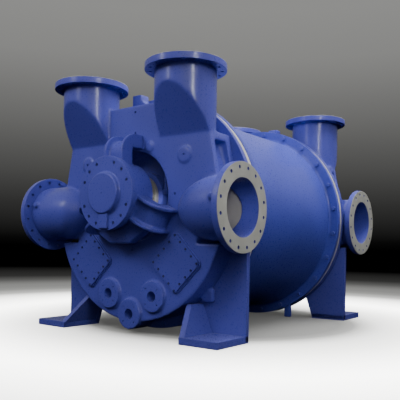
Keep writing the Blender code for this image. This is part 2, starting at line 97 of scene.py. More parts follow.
def blue_enamel(name, light, dark, dust=0.10, skin=0.0010):
    """Sprayed enamel over cast iron: cloudy colour, orange peel, cast skin, settled dust."""
    material, shader = blank_finish(name, 0.30, coat=0.25, coat_roughness=0.16)
    link = material.node_tree.links.new
    place = add_node(material, "ShaderNodeTexCoord").outputs["Object"]
    clouds = add_node(material, "ShaderNodeTexNoise", {"Scale": 2.3, "Detail": 4.0})
    speckle = add_node(material, "ShaderNodeTexNoise", {"Scale": 85.0, "Detail": 3.0})
    cast = add_node(material, "ShaderNodeTexNoise", {"Scale": 46.0, "Detail": 5.0})
    peel = add_node(material, "ShaderNodeTexNoise", {"Scale": 330.0, "Detail": 2.0})
    for noise in (clouds, speckle, cast, peel):
        link(place, noise.inputs["Vector"])
    spread = add_node(material, "ShaderNodeMapRange", {"From Min": 0.35, "From Max": 0.65})
    link(clouds.outputs["Fac"], spread.inputs["Value"])
    body = mix_colours(material, spread.outputs["Result"], dark, light)
    upright = add_node(material, "ShaderNodeSeparateXYZ")
    normal = add_node(material, "ShaderNodeNewGeometry").outputs["Normal"]
    link(normal, upright.inputs["Vector"])
    settled = add_node(material, "ShaderNodeMapRange",
                       {"From Min": 0.45, "From Max": 1.0, "To Min": 0.0, "To Max": dust})
    link(upright.outputs["Z"], settled.inputs["Value"])
    patchy = add_node(material, "ShaderNodeMath", operation="MULTIPLY")
    link(settled.outputs["Result"], patchy.inputs[0])
    link(speckle.outputs["Fac"], patchy.inputs[1])
    dusty = mix_colours(material, patchy.outputs["Value"], body, (0.36, 0.38, 0.42))
    link(dusty, shader.inputs["Base Color"])
    sheen = add_node(material, "ShaderNodeMapRange",
                     {"From Min": 0.3, "From Max": 0.7, "To Min": 0.25, "To Max": 0.37})
    link(speckle.outputs["Fac"], sheen.inputs["Value"])
    link(sheen.outputs["Result"], shader.inputs["Roughness"])
    rough_skin = add_node(material, "ShaderNodeBump", {"Strength": 0.5, "Distance": skin})
    link(cast.outputs["Fac"], rough_skin.inputs["Height"])
    peel_skin = add_node(material, "ShaderNodeBump", {"Strength": 0.3, "Distance": 0.0003})
    link(peel.outputs["Fac"], peel_skin.inputs["Height"])
    link(rough_skin.outputs["Normal"], peel_skin.inputs["Normal"])
    link(peel_skin.outputs["Normal"], shader.inputs["Normal"])
    return material


def mix_colours(material, share, first, second):
    """A colour that goes from the first to the second; each is a colour or a socket."""
    mixer = material.node_tree.nodes.new("ShaderNodeMix")
    mixer.data_type = "RGBA"
    link = material.node_tree.links.new
    link(share, mixer.inputs["Factor"])
    for socket, colour in ((mixer.inputs[6], first), (mixer.inputs[7], second)):
        if isinstance(colour, tuple):
            socket.default_value = (*colour, 1.0)
        else:
            link(colour, socket)
    return mixer.outputs[2]


def turned(profile, segments, closed=True):
    """A profile of (radius, y) points, spun round the Y axis through the origin."""
    bm = bmesh.new()
    points = [bm.verts.new((radius, y, 0.0)) for radius, y in profile]
    edges = [bm.edges.new(pair) for pair in zip(points, points[1:])]
    if closed:
        edges.append(bm.edges.new((points[-1], points[0])))
    bmesh.ops.spin(bm, geom=points + edges, cent=(0.0, 0.0, 0.0), axis=(0.0, 1.0, 0.0),
                   angle=math.tau, steps=segments, use_merge=True)
    bmesh.ops.remove_doubles(bm, verts=bm.verts, dist=0.00001)
    bmesh.ops.recalc_face_normals(bm, faces=bm.faces)
    return bm


def soften(bm, width, segments=3, chosen=None):
    """Rounds the sharp edges, or those whose middle the test picks."""
    edges = [edge for edge in bm.edges if edge.calc_face_angle(0.0) > SHARP_EDGE
             and (chosen is None or chosen((edge.verts[0].co + edge.verts[1].co) / 2))]
    bmesh.ops.bevel(bm, geom=edges, offset=width, offset_type="OFFSET", segments=segments,
                    profile=0.5, affect="EDGES", material=-1, clamp_overlap=True)
    return bm


def slab(low, high):
    """A block between two corners."""
    bm = bmesh.new()
    bmesh.ops.create_cube(bm, size=1.0)
    low, high = Vector(low), Vector(high)
    bmesh.ops.scale(bm, vec=high - low, verts=bm.verts)
    bmesh.ops.translate(bm, vec=(low + high) / 2, verts=bm.verts)
    return bm


def moved(bm, matrix):
    """The same mesh in its place, with its faces outward if the matrix mirrors it."""
    bmesh.ops.transform(bm, matrix=matrix, verts=bm.verts)
    if matrix.determinant() < 0:
        bmesh.ops.reverse_faces(bm, faces=bm.faces)
    return bm


def gathered(parts):
    """Several meshes in one, left as separate bodies."""
    bm = bmesh.new()
    for part in parts:
        mesh = bpy.data.meshes.new("part")
        part.to_mesh(mesh)
        part.free()
        bm.from_mesh(mesh)
        bpy.data.meshes.remove(mesh)
    return bm


def settle(name, shape, material, nodes=(), turn=FRONT_TURN, body="housing"):
    """Makes the finished piece at the origin, smooth but for its sharp edges."""
    if isinstance(shape, bmesh.types.BMesh):
        mesh = bpy.data.meshes.new(name)
        shape.to_mesh(mesh)
    else:
        mesh = shape.copy()
    mesh.transform(turn)
    mesh.materials.clear()
    mesh.materials.append(material)
    mesh.shade_smooth()
    mesh.set_sharp_from_angle(angle=SHARP_EDGE)
    piece = bpy.data.objects.new(name, mesh)
    bpy.context.scene.collection.objects.link(piece)
    even = piece.modifiers.new("even shading", "WEIGHTED_NORMAL")
    even.keep_sharp = True
    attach(piece, body)
    if nodes:
        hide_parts(*nodes)
    return piece


CASING_BLUE = blue_enamel("casing_enamel", (0.066, 0.083, 0.460), (0.058, 0.073, 0.405))
barrel = turned([(CASING_BORE_RADIUS, -HALF_LENGTH), (FLANGE_RADIUS, -HALF_LENGTH),
                 (FLANGE_RADIUS, -HALF_LENGTH + FLANGE_THICKNESS),
                 (BARREL_RADIUS, -HALF_LENGTH + FLANGE_THICKNESS),
                 (BARREL_RADIUS, HALF_LENGTH - FLANGE_THICKNESS),
                 (FLANGE_RADIUS, HALF_LENGTH - FLANGE_THICKNESS),
                 (FLANGE_RADIUS, HALF_LENGTH), (CASING_BORE_RADIUS, HALF_LENGTH)], 160)
soften(barrel, BARREL_FILLET, 5,
       lambda middle: abs(math.hypot(middle.x, middle.z) - BARREL_RADIUS) < NEARBY)
soften(barrel, RIM_ROUND, 2,
       lambda middle: math.hypot(middle.x, middle.z) > FLANGE_RADIUS - NEARBY)
moved(barrel, Matrix.Translation((0.0, 0.0, AXIS_Z)))
lug_front_y = -HALF_LENGTH + LUG_SETBACK
casing_lugs = [soften(slab((side * LUG_X - LUG_WIDTH / 2, lug_front_y, LUG_BOTTOM_Z),
                           (side * LUG_X + LUG_WIDTH / 2, lug_front_y + LUG_THICKNESS,
                            LUG_TOP_Z)), LUG_ROUND) for side in (-1, 1)]
casing_lugs += [moved(lug.copy(), Matrix.Rotation(math.pi, 4, "Z")) for lug in casing_lugs]
settle("casing_barrel", gathered([barrel] + casing_lugs), CASING_BLUE, ["casing"])


# Port plates: flat discs of bare iron, turned on both faces and held between the casing and
# the heads by the joint bolts. Their rims are the pale line round each joint, a little inside
# the flanges, and the faces show inside the side nozzles.
plate_low, plate_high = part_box("front_port_plate")
PLATE_FRONT_Y = plate_low.y - MIDDLE_Y
PLATE_BACK_Y = plate_high.y - MIDDLE_Y
PLATE_STEP = 0.006
PLATE_RIM_RADIUS = FLANGE_RADIUS - PLATE_STEP


def machined_iron(name, light, dark, centre, axis, pitch=900.0, roughness=0.42, metallic=0.45):
    """Bare metal with the fine rings that a lathe leaves round the middle of a face."""
    material, shader = blank_finish(name, roughness, metallic=metallic)
    link = material.node_tree.links.new
    place = add_node(material, "ShaderNodeTexCoord").outputs["Object"]
    centred = add_node(material, "ShaderNodeMapping")
    centred.inputs["Location"].default_value = [-value for value in centre]
    link(place, centred.inputs["Vector"])
    rings = add_node(material, "ShaderNodeTexWave", {"Scale": pitch / 20, "Distortion": 0.4},
                     wave_type="RINGS", rings_direction=axis)
    stain = add_node(material, "ShaderNodeTexNoise", {"Scale": 9.0, "Detail": 5.0})
    grain = add_node(material, "ShaderNodeTexNoise", {"Scale": 240.0, "Detail": 2.0})
    for texture in (rings, stain, grain):
        link(centred.outputs["Vector"], texture.inputs["Vector"])
    spread = add_node(material, "ShaderNodeMapRange", {"From Min": 0.3, "From Max": 0.7})
    link(stain.outputs["Fac"], spread.inputs["Value"])
    colour = mix_colours(material, spread.outputs["Result"], dark, light)
    link(colour, shader.inputs["Base Color"])
    sheen = add_node(material, "ShaderNodeMapRange",
                     {"To Min": roughness - 0.08, "To Max": roughness + 0.12})
    link(grain.outputs["Fac"], sheen.inputs["Value"])
    link(sheen.outputs["Result"], shader.inputs["Roughness"])
    grooves = add_node(material, "ShaderNodeBump", {"Strength": 0.25, "Distance": 0.0004})
    link(rings.outputs["Fac"], grooves.inputs["Height"])
    link(grooves.outputs["Normal"], shader.inputs["Normal"])
    return material


for end, turn, sides in ENDS:
    plate = turned([(CASING_BORE_RADIUS, PLATE_FRONT_Y), (PLATE_RIM_RADIUS, PLATE_FRONT_Y),
                    (PLATE_RIM_RADIUS, PLATE_BACK_Y), (CASING_BORE_RADIUS, PLATE_BACK_Y)], 128)
    moved(plate, Matrix.Translation((0.0, 0.0, AXIS_Z)))
    plate_iron = machined_iron(end + "_port_plate_iron", (0.62, 0.60, 0.56), (0.54, 0.52, 0.48),
                               turn @ Vector((0.0, 0.0, AXIS_Z)), "Y",
                               roughness=0.5, metallic=0.1)
    settle(end + "_port_disc", plate, plate_iron, [end + "_port_plate"], turn)


# Heads: the two end castings that carry nozzles, stuffing box and bearing. Each is one
# iron casting with wide fillets, machined only on its flange, its nozzle faces and holes.
# A drum below, a flat face with open shoulders and a tower with a lifting eye above.
head_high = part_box("front_head")[1]
FACE_Y = 1.045
HEAD_FLANGE_Y = 0.800
HEAD_BACK_Y = 0.790
SHAFT_Z = 1.018
DRUM_RADIUS = 0.820
LEDGE_Z = 0.672
WAIST_HALF_WIDTH = 0.600
SHOULDER_Z = 1.118
SHOULDER_HALF_WIDTH = 0.757
ROOF_Z = 1.443
ROOF_HALF_WIDTH = 0.690
TOWER_HALF_WIDTH = 0.268
TOWER_TOP_Z = 1.695
TOWER_CORNER = 0.030
FACE_PLATE_THICKNESS = 0.056
POCKET_X = 0.640
POCKET_FOOT_X = 0.720
POCKET_OUTER_X = 0.900
POCKET_ROOF_Z = 1.385
POCKET_FLOOR_Z = 1.116
POCKET_BACK_Y = 0.850
POCKET_ROUND = 0.018
EYE_FRONT_Y = 0.885
EYE_BACK_Y = 0.795
EYE_HALF_WIDTH = 0.175
EYE_TOP_Z = 1.828
EAR_INNER_X = 0.085
NOTCH_Z = 1.776
EYE_SINK = 0.020
EAR_TAPER = 0.012
SADDLE_RISE = 0.020
SADDLE_RADIUS = 0.060
NOZZLE_Y = 1.033
TOP_NOZZLE_X = 0.475
TOP_FACE_Z = head_high.z
TOP_PIPE_RADIUS = 0.218
TOP_PIPE_FOOT_Z = 1.200
TOP_BORE_RADIUS = 0.192
TOP_BORE_FLOOR_Z = 1.250
SLOPE_TOP = Vector((0.0, -1.250, 1.750))
SLOPE_FOOT = Vector((0.0, -1.045, 1.434))
SLOPE_WALL = 0.026
SIDE_FACE_X = head_high.x
SIDE_PIPE_RADIUS = 0.220
SIDE_BORE_RADIUS = 0.1955
SIDE_BORE_START_X = 0.700
ELBOW_X = 0.800
ELBOW_REACH = 0.330
WEB_INNER_X = 0.550
WEB_OUTER_X = 0.850
WEB_HALF_HEIGHT = 0.210
NOZZLE_FLANGE_THICKNESS = 0.047
PORT_X = 0.594
PORT_RADIUS = 0.230
PORT_INNER_X = 0.470
PORT_HALF_HEIGHT = 0.190
PORT_FRONT_Y = 1.020
RECESS_RADIUS = 0.335
RECESS_FLOOR_Y = 0.880
SLEEVE_HOLE_RADIUS = 0.120
DRAIN_PORTS = ((-0.220, 0.287), (0.220, 0.287), (0.0, 0.146))
DRAIN_PORT_RADIUS = 0.113
DRAIN_PORT_FRONT_Y = 1.072
DRAIN_PORT_BACK_Y = 0.900
DRAIN_HOLE_RADIUS = 0.040
DRAIN_HOLE_DEPTH = 0.110
DRAIN_STUD_CIRCLE = 0.078
STUD_HOLE_RADIUS = 0.006
SCREW_HOLE_DEPTH = 0.030
PLUG_BOSSES = ((0.487, 1.289, 0.055), (0.160, 1.373, 0.035))
PLUG_BOSS_FRONT_Y = 1.057
PLUG_BOSS_SINK = 0.010
FACE_HOLES = ((0.0, 0.621), (0.403, 1.022), (-0.403, 1.022), (0.012, 1.645), (0.014, 1.490),
              (0.487, 1.289), (-0.487, 1.289))
FACE_HOLE_RADIUS = 0.009
DRUM_LUG_X = 0.600
DRUM_LUG_Z = 0.312
DRUM_LUG_SIZE = 0.095
DRUM_LUG_FRONT_Y = 0.915
DRUM_LUG_BACK_Y = 0.870
DRUM_LUG_ROUND = 0.012
NECK_BOSS_X = 0.870
NECK_BOSS_Z = 0.970
NECK_BOSS_FRONT_Y = 1.268
NECK_BOSS_RADIUS = 0.024
CUT_PAST = 0.020
CORE_PAST = 0.050
HEAD_VOXEL = 0.0085
HEAD_FILLET = 0.030
HEAD_FILLET_ROUNDS = 24
EVEN_ROUNDS = 3
HEAD_SHARE = 0.55
PLATE_CLEARANCE = 0.0006


def drawn(outline, start_y, end_y):
    """An outline of (x, z) points, drawn out along Y."""
    bm = bmesh.new()
    face = bm.faces.new([bm.verts.new((x, start_y, z)) for x, z in outline])
    made = bmesh.ops.extrude_face_region(bm, geom=[face])
    new_verts = [item for item in made["geom"] if isinstance(item, bmesh.types.BMVert)]
    bmesh.ops.translate(bm, verts=new_verts, vec=(0.0, end_y - start_y, 0.0))
    bmesh.ops.recalc_face_normals(bm, faces=bm.faces)
    return bm


def bar(start, end, radius, segments=64, end_radius=None):
    """A round bar between two points."""
    start, end = Vector(start), Vector(end)
    bm = bmesh.new()
    bmesh.ops.create_cone(bm, cap_ends=True, segments=segments, radius1=radius,
                          radius2=radius if end_radius is None else end_radius,
                          depth=(end - start).length)
    facing = (end - start).to_track_quat("Z", "Y").to_matrix().to_4x4()
    return moved(bm, Matrix.Translation((start + end) / 2) @ facing)


def arc(centre, radius, start_degrees, end_degrees, steps):
    """Points along a circle about a centre, first and last included."""
    angles = [math.radians(start_degrees + (end_degrees - start_degrees) * step / steps)
              for step in range(steps + 1)]
    return [(centre[0] + radius * math.cos(a), centre[1] + radius * math.sin(a)) for a in angles]


def combined(base, joined=(), cut=(), voxel=None):
    """The base with others joined to it and cut out of it, then remeshed if a voxel is given."""
    helpers = []
    for shape in (base, *joined, *cut):
        mesh = bpy.data.meshes.new("helper")
        shape.to_mesh(mesh)
        shape.free()
        helpers.append(bpy.data.objects.new("helper", mesh))
        bpy.context.scene.collection.objects.link(helpers[-1])
    body = helpers[0]
    for number, helper in enumerate(helpers[1:]):
        modifier = body.modifiers.new("step", "BOOLEAN")
        modifier.operation = "UNION" if number < len(joined) else "DIFFERENCE"
        modifier.solver = "MANIFOLD"
        modifier.object = helper
    if voxel:
        modifier = body.modifiers.new("cast", "REMESH")
        modifier.mode = "VOXEL"
        modifier.voxel_size = voxel
    evaluated = body.evaluated_get(bpy.context.evaluated_depsgraph_get())
    result = bpy.data.meshes.new_from_object(evaluated)
    for helper in helpers:
        old = helper.data
        bpy.data.objects.remove(helper, do_unlink=True)
        bpy.data.meshes.remove(old)
    return result


def relaxed(mesh, voxel, fillet, fillet_rounds, rounds):
    """Fills the inner corners of a cast mesh out to a fillet, then evens all of it."""
    count = len(mesh.vertices)
    places = np.empty(count * 3)
    mesh.vertices.foreach_get("co", places)
    places = places.reshape(-1, 3)
    ends = np.empty(len(mesh.edges) * 2, dtype=np.int32)
    mesh.edges.foreach_get("vertices", ends)
    first, second = ends.reshape(-1, 2).T
    neighbours = np.bincount(first, minlength=count) + np.bincount(second, minlength=count)
    normals = np.empty(count * 3)
    for turn_number in range(fillet_rounds + rounds):
        total = np.stack([np.bincount(first, places[second, axis], count)
                          + np.bincount(second, places[first, axis], count)
                          for axis in range(3)], axis=1)
        pull = total / neighbours[:, None] - places
        if turn_number < fillet_rounds:
            mesh.vertices.foreach_set("co", places.ravel())
            mesh.update()
            mesh.vertex_normals.foreach_get("vector", normals)
            inward = (pull * normals.reshape(-1, 3)).sum(axis=1)
            pull *= (inward > voxel * voxel / (4 * fillet))[:, None]
        places += 0.5 * pull
    mesh.vertices.foreach_set("co", places.ravel())
    mesh.update()
    return mesh


def sloped_off(bm, setback=0.0):
    """Cuts an upright pipe or bore along the slope below a top nozzle, or a wall inside it."""
    along = (SLOPE_FOOT - SLOPE_TOP).normalized()
    outward = Vector((0.0, along.z, -along.y))
    cut = bmesh.ops.bisect_plane(bm, geom=bm.verts[:] + bm.edges[:] + bm.faces[:],
                                 plane_co=SLOPE_TOP - outward * setback, plane_no=outward,
                                 clear_outer=True)
    rim = [item for item in cut["geom_cut"] if isinstance(item, bmesh.types.BMEdge)]
    bmesh.ops.contextual_create(bm, geom=rim)
    bmesh.ops.recalc_face_normals(bm, faces=bm.faces)
    return bm


def head_body():
    """The flat-faced body with its drum, without nozzles, its front edge rounded."""
    ledge_angle = math.degrees(math.asin((LEDGE_Z - AXIS_Z) / DRUM_RADIUS))
    drum = arc((0.0, AXIS_Z), DRUM_RADIUS, ledge_angle, -90.0, 60)[:-1]
    tower_corner = arc((TOWER_HALF_WIDTH - TOWER_CORNER, TOWER_TOP_Z - TOWER_CORNER),
                       TOWER_CORNER, 90, 0, 5)
    upper = tower_corner + [(TOWER_HALF_WIDTH, ROOF_Z), (ROOF_HALF_WIDTH, ROOF_Z),
                            (SHOULDER_HALF_WIDTH, SHOULDER_Z), (WAIST_HALF_WIDTH, SHOULDER_Z),
                            (WAIST_HALF_WIDTH, LEDGE_Z)]
    right = upper + drum
    outline = right + [(0.0, AXIS_Z - DRUM_RADIUS)] + [(-x, z) for x, z in reversed(right)]
    return drawn(outline, -FACE_Y, -HEAD_BACK_Y)


def head_lumps():
    """What is cast onto the body: the eye, pipes, elbows, webs, bosses and drain ports."""
    saddle = arc((0.0, NOTCH_Z + SADDLE_RISE), SADDLE_RADIUS, -35, -145, 10)
    eye = [(EYE_HALF_WIDTH, TOWER_TOP_Z - EYE_SINK), (EYE_HALF_WIDTH, EYE_TOP_Z),
           (EAR_INNER_X, EYE_TOP_Z), (EAR_INNER_X - EAR_TAPER, NOTCH_Z)]
    eye += saddle + [(-x, z) for x, z in reversed(eye)]
    lumps = [drawn(eye, -EYE_FRONT_Y, -EYE_BACK_Y)]
    for side in (-1, 1):
        pipe = bar((side * TOP_NOZZLE_X, -NOZZLE_Y, TOP_PIPE_FOOT_Z),
                   (side * TOP_NOZZLE_X, -NOZZLE_Y, TOP_FACE_Z - NOZZLE_FLANGE_THICKNESS / 2),
                   TOP_PIPE_RADIUS, 96)
        lumps.append(sloped_off(pipe))
        tip = [(ELBOW_X - ELBOW_REACH * math.cos(math.radians(a)),
                SIDE_PIPE_RADIUS * math.sin(math.radians(a))) for a in range(0, 91, 6)]
        elbow = turned([(radius, x) for x, radius in
                        tip + [(SIDE_FACE_X - NOZZLE_FLANGE_THICKNESS / 2, SIDE_PIPE_RADIUS),
                               (SIDE_FACE_X - NOZZLE_FLANGE_THICKNESS / 2, 0.0)]], 96, False)
        lumps.append(moved(elbow, Matrix.Translation((0.0, -NOZZLE_Y, AXIS_Z))
                           @ Matrix.Rotation(-side * math.pi / 2, 4, "Z")))
        across = sorted((side * WEB_INNER_X, side * WEB_OUTER_X))
        lumps.append(slab((across[0], -NOZZLE_Y, AXIS_Z - WEB_HALF_HEIGHT),
                          (across[1], -HEAD_BACK_Y, AXIS_Z + WEB_HALF_HEIGHT)))
        lumps += [bar((side * x, -FACE_Y + PLUG_BOSS_SINK, z),
                      (side * x, -PLUG_BOSS_FRONT_Y, z), radius)
                  for x, z, radius in PLUG_BOSSES]
        lumps.append(soften(slab((side * DRUM_LUG_X - DRUM_LUG_SIZE / 2, -DRUM_LUG_FRONT_Y,
                                  DRUM_LUG_Z - DRUM_LUG_SIZE / 2),
                                 (side * DRUM_LUG_X + DRUM_LUG_SIZE / 2, -DRUM_LUG_BACK_Y,
                                  DRUM_LUG_Z + DRUM_LUG_SIZE / 2)), DRUM_LUG_ROUND))
        lumps.append(bar((side * NECK_BOSS_X, -NOZZLE_Y, NECK_BOSS_Z),
                         (side * NECK_BOSS_X, -NECK_BOSS_FRONT_Y, NECK_BOSS_Z),
                         NECK_BOSS_RADIUS))
    lumps += [bar((x, -DRAIN_PORT_BACK_Y, z), (x, -DRAIN_PORT_FRONT_Y, z), DRAIN_PORT_RADIUS)
              for x, z in DRAIN_PORTS]
    return lumps


def port_core(side):
    """The opening between a side nozzle and the port plate, round on its outer side."""
    limit = math.degrees(math.asin(PORT_HALF_HEIGHT / PORT_RADIUS))
    outer = arc((PORT_X, AXIS_Z), PORT_RADIUS, limit, -limit, 16)
    outline = [(PORT_INNER_X, outer[0][1])] + outer + [(PORT_INNER_X, outer[-1][1])]
    return drawn([(side * x, z) for x, z in outline], -PORT_FRONT_Y, 0.0)


def sleeve_core():
    """The hole that the shaft sleeve turns in."""
    return bar((0.0, -FACE_Y, SHAFT_Z), (0.0, 0.0, SHAFT_Z), SLEEVE_HOLE_RADIUS, 96)


def head_hollows():
    """The hollows that cores leave in the casting."""
    hollows = [bar((0.0, -FACE_Y - 2 * CORE_PAST, SHAFT_Z), (0.0, -RECESS_FLOOR_Y, SHAFT_Z),
                   RECESS_RADIUS, 128), sleeve_core(), port_core(-1), port_core(1)]
    for side in (-1, 1):
        pocket = drawn([(side * POCKET_X, POCKET_ROOF_Z), (side * POCKET_OUTER_X, POCKET_ROOF_Z),
                        (side * POCKET_OUTER_X, POCKET_FLOOR_Z),
                        (side * POCKET_FOOT_X, POCKET_FLOOR_Z)],
                       -FACE_Y + FACE_PLATE_THICKNESS, -POCKET_BACK_Y)
        hollows.append(soften(pocket, POCKET_ROUND, 3))
        bore = bar((side * TOP_NOZZLE_X, -NOZZLE_Y, TOP_BORE_FLOOR_Z),
                   (side * TOP_NOZZLE_X, -NOZZLE_Y, TOP_FACE_Z + CORE_PAST),
                   TOP_BORE_RADIUS, 96)
        hollows.append(sloped_off(bore, SLOPE_WALL))
        hollows.append(bar((side * SIDE_BORE_START_X, -NOZZLE_Y, AXIS_Z),
                           (side * (SIDE_FACE_X + CORE_PAST), -NOZZLE_Y, AXIS_Z),
                           SIDE_BORE_RADIUS, 96))
    return hollows


def thinned(mesh, share):
    """The same shape in fewer triangles, fewest where it is flat, as a bmesh."""
    item = bpy.data.objects.new("thinned", mesh)
    bpy.context.scene.collection.objects.link(item)
    modifier = item.modifiers.new("fewer", "DECIMATE")
    modifier.ratio = share
    evaluated = item.evaluated_get(bpy.context.evaluated_depsgraph_get())
    bm = bmesh.new()
    bm.from_mesh(evaluated.to_mesh())
    bpy.data.objects.remove(item, do_unlink=True)
    return bm


head_casting = combined(head_body(), head_lumps(), head_hollows(), HEAD_VOXEL)
relaxed(head_casting, HEAD_VOXEL, HEAD_FILLET, HEAD_FILLET_ROUNDS, EVEN_ROUNDS)
machined = thinned(head_casting, HEAD_SHARE)
holes = [bar((x, -DRAIN_PORT_FRONT_Y - CUT_PAST, z),
             (x, -DRAIN_PORT_FRONT_Y + DRAIN_HOLE_DEPTH, z), DRAIN_HOLE_RADIUS, 48)
         for x, z in DRAIN_PORTS]
holes += [bar((x + across, -DRAIN_PORT_FRONT_Y - CUT_PAST, z + up),
              (x + across, -DRAIN_PORT_FRONT_Y + SCREW_HOLE_DEPTH, z + up), STUD_HOLE_RADIUS, 12)
          for x, z in DRAIN_PORTS for across, up in arc((0.0, 0.0), DRAIN_STUD_CIRCLE, 45, 315, 3)]
holes += [bar((x, -PLUG_BOSS_FRONT_Y - CUT_PAST, z), (x, -FACE_Y + SCREW_HOLE_DEPTH, z),
              FACE_HOLE_RADIUS, 12) for x, z in FACE_HOLES]
head_machined = combined(machined, cut=holes)
HEAD_BLUE = blue_enamel("head_enamel", (0.075, 0.084, 0.430), (0.067, 0.075, 0.385))
for end, turn, sides in ENDS:
    settle(end + "_head_casting", head_machined, HEAD_BLUE, [end + "_head"], turn)
    flange_back_y = PLATE_FRONT_Y - PLATE_CLEARANCE
    disc = turned([(0.0, -HEAD_FLANGE_Y), (FLANGE_RADIUS, -HEAD_FLANGE_Y),
                   (FLANGE_RADIUS, flange_back_y), (0.0, flange_back_y)], 160, False)
    soften(disc, RIM_ROUND, 2)
    moved(disc, Matrix.Translation((0.0, 0.0, AXIS_Z)))
    cored = combined(disc, cut=[port_core(-1), port_core(1), sleeve_core()])
    settle(end + "_head_flange", cored, HEAD_BLUE, (), turn)


# Nozzle flanges: one at each side and one on each pipe, cast with the heads and drilled for
# the sixteen bolts of the connected pipes. Rims and backs are painted, and the faces are
# turned bare iron, because the paint stops where the gasket lies.
NOZZLE_BOLTS = 16
NOZZLE_HOLE_RADIUS = 0.0125
SIDE_FLANGE_RADIUS = 0.2985
SIDE_BOLT_CIRCLE = 0.262
TOP_FLANGE_RADIUS = 0.287
TOP_BOLT_CIRCLE = 0.2525
FACE_SKIN = 0.003
FACE_INSET = 0.0025
NOZZLE_STEP = 0.0015
NOZZLE_RIM_ROUND = 0.004
FACE_RIM_ROUND = 0.0008


def drilled_ring(inner, outer, back_y, front_y, circle, rim):
    """A ring round the Y axis with the holes of the pipe bolts in it."""
    ring = turned([(inner, back_y), (outer, back_y), (outer, front_y), (inner, front_y)], 128)
    soften(ring, rim, 2)
    first = 360 / NOZZLE_BOLTS / 2
    holes = [bar((x, back_y - CUT_PAST, z), (x, front_y + CUT_PAST, z), NOZZLE_HOLE_RADIUS, 20)
             for x, z in arc((0.0, 0.0), circle, first, 360 - first, NOZZLE_BOLTS - 1)]
    return combined(ring, cut=holes)


side_sizes = (SIDE_BORE_RADIUS - NOZZLE_STEP, SIDE_FLANGE_RADIUS, SIDE_BOLT_CIRCLE)
top_sizes = (TOP_BORE_RADIUS - NOZZLE_STEP, TOP_FLANGE_RADIUS, TOP_BOLT_CIRCLE)
nozzle_meshes = {}
for kind, (bore, rim_radius, circle) in (("side", side_sizes), ("top", top_sizes)):
    nozzle_meshes[kind] = (
        drilled_ring(bore, rim_radius, -NOZZLE_FLANGE_THICKNESS, -FACE_SKIN, circle,
                     NOZZLE_RIM_ROUND),
        drilled_ring(bore, rim_radius - FACE_INSET, -FACE_SKIN, 0.0, circle, FACE_RIM_ROUND))
for end, turn, sides in ENDS:
    for side in (-1, 1):
        nozzle_spots = {
            "side": (Matrix.Translation((side * SIDE_FACE_X, -NOZZLE_Y, AXIS_Z))
                     @ Matrix.Rotation(-side * math.pi / 2, 4, "Z"), "X"),
            "top": (Matrix.Translation((side * TOP_NOZZLE_X, -NOZZLE_Y, TOP_FACE_Z))
                    @ Matrix.Rotation(math.pi / 2, 4, "X"), "Z")}
        for kind, (spot, axis) in nozzle_spots.items():
            name = f"{end}_{sides[side]}_{kind}_flange"
            ring, face = nozzle_meshes[kind]
            settle(name, ring, HEAD_BLUE, (), turn @ spot)
            face_iron = machined_iron(name + "_iron", (0.50, 0.50, 0.465), (0.42, 0.42, 0.390),
                                      (turn @ spot).translation, axis, 700.0,
                                      roughness=0.5, metallic=0.2)
            settle(name + "_face", face, face_iron, (), turn @ spot)


# Joint bolts: twenty-four hexagon bolts pull each head and its port plate onto the casing.
# Their heads stand on the barrel side of the flange and the nuts on the head's side, where
# the castings leave room for a spanner. All were painted over with the pump.
JOINT_BOLTS = 24
JOINT_BOLT_CIRCLE = 0.853
JOINT_BOLT_WIDTH = 0.034
JOINT_BOLT_HEIGHT = 0.020
WASHER_THICKNESS_SHARE = 0.14
WASHER_RADIUS_SHARE = 1.08
HEXAGON_CHAMFER_SHARE = 0.07
HEXAGON_TOP_TEST = 0.0001
JOINT_NUT_DEGREES = (67.5, 22.5, -22.5, -37.5, -52.5, -67.5, -82.5)


def hexagon(width, height):
    """A hexagon head with its washer, which stands on the origin and points along +Y."""
    corner = width / math.sqrt(3)
    washer_height = height * WASHER_THICKNESS_SHARE
    head = bar((0.0, washer_height, 0.0), (0.0, height, 0.0), corner, 6)
    soften(head, width * HEXAGON_CHAMFER_SHARE, 1,
           lambda middle: middle.y > height - HEXAGON_TOP_TEST)
    washer = bar((0.0, 0.0, 0.0), (0.0, washer_height, 0.0),
                 corner * WASHER_RADIUS_SHARE, 20)
    return gathered([head, washer])


def repeated(part, spots):
    """One mesh with a copy of the part at each place."""
    pattern = bpy.data.meshes.new("pattern")
    part.to_mesh(pattern)
    part.free()
    bm = bmesh.new()
    for spot in spots:
        copy = pattern.copy()
        copy.transform(spot)
        bm.from_mesh(copy)
        bpy.data.meshes.remove(copy)
    return bm


BOLT_BLUE = blue_enamel("bolt_enamel", (0.076, 0.093, 0.450), (0.068, 0.083, 0.400), 0.06, 0.0004)
# Screw enamel: the blue paint darkened far below the heads' blue, painted shade that makes the small
# screw heads read as dark dots.
SHADED_SCREW_BLUE = blue_enamel("screw_enamel_painted_shade", (0.022, 0.028, 0.130), (0.016, 0.020, 0.100), 0.03, 0.0003)
FRONTWARD = Matrix.Rotation(math.pi, 4, "Z")
first_bolt = 360 / JOINT_BOLTS / 2
head_spots = [Matrix.Translation((x, -HALF_LENGTH + FLANGE_THICKNESS, z)) for x, z in
              arc((0.0, AXIS_Z), JOINT_BOLT_CIRCLE, first_bolt, 360 - first_bolt,
                  JOINT_BOLTS - 1)]
nut_spots = [Matrix.Translation((side * JOINT_BOLT_CIRCLE * math.cos(math.radians(angle)),
                                 -HEAD_FLANGE_Y,
                                 AXIS_Z + JOINT_BOLT_CIRCLE * math.sin(math.radians(angle))))
             @ FRONTWARD for angle in JOINT_NUT_DEGREES for side in (-1, 1)]
for end, turn, sides in ENDS:
    bolts = repeated(hexagon(JOINT_BOLT_WIDTH, JOINT_BOLT_HEIGHT), head_spots + nut_spots)
    settle(end + "_joint_bolts", bolts, BOLT_BLUE, (), turn)


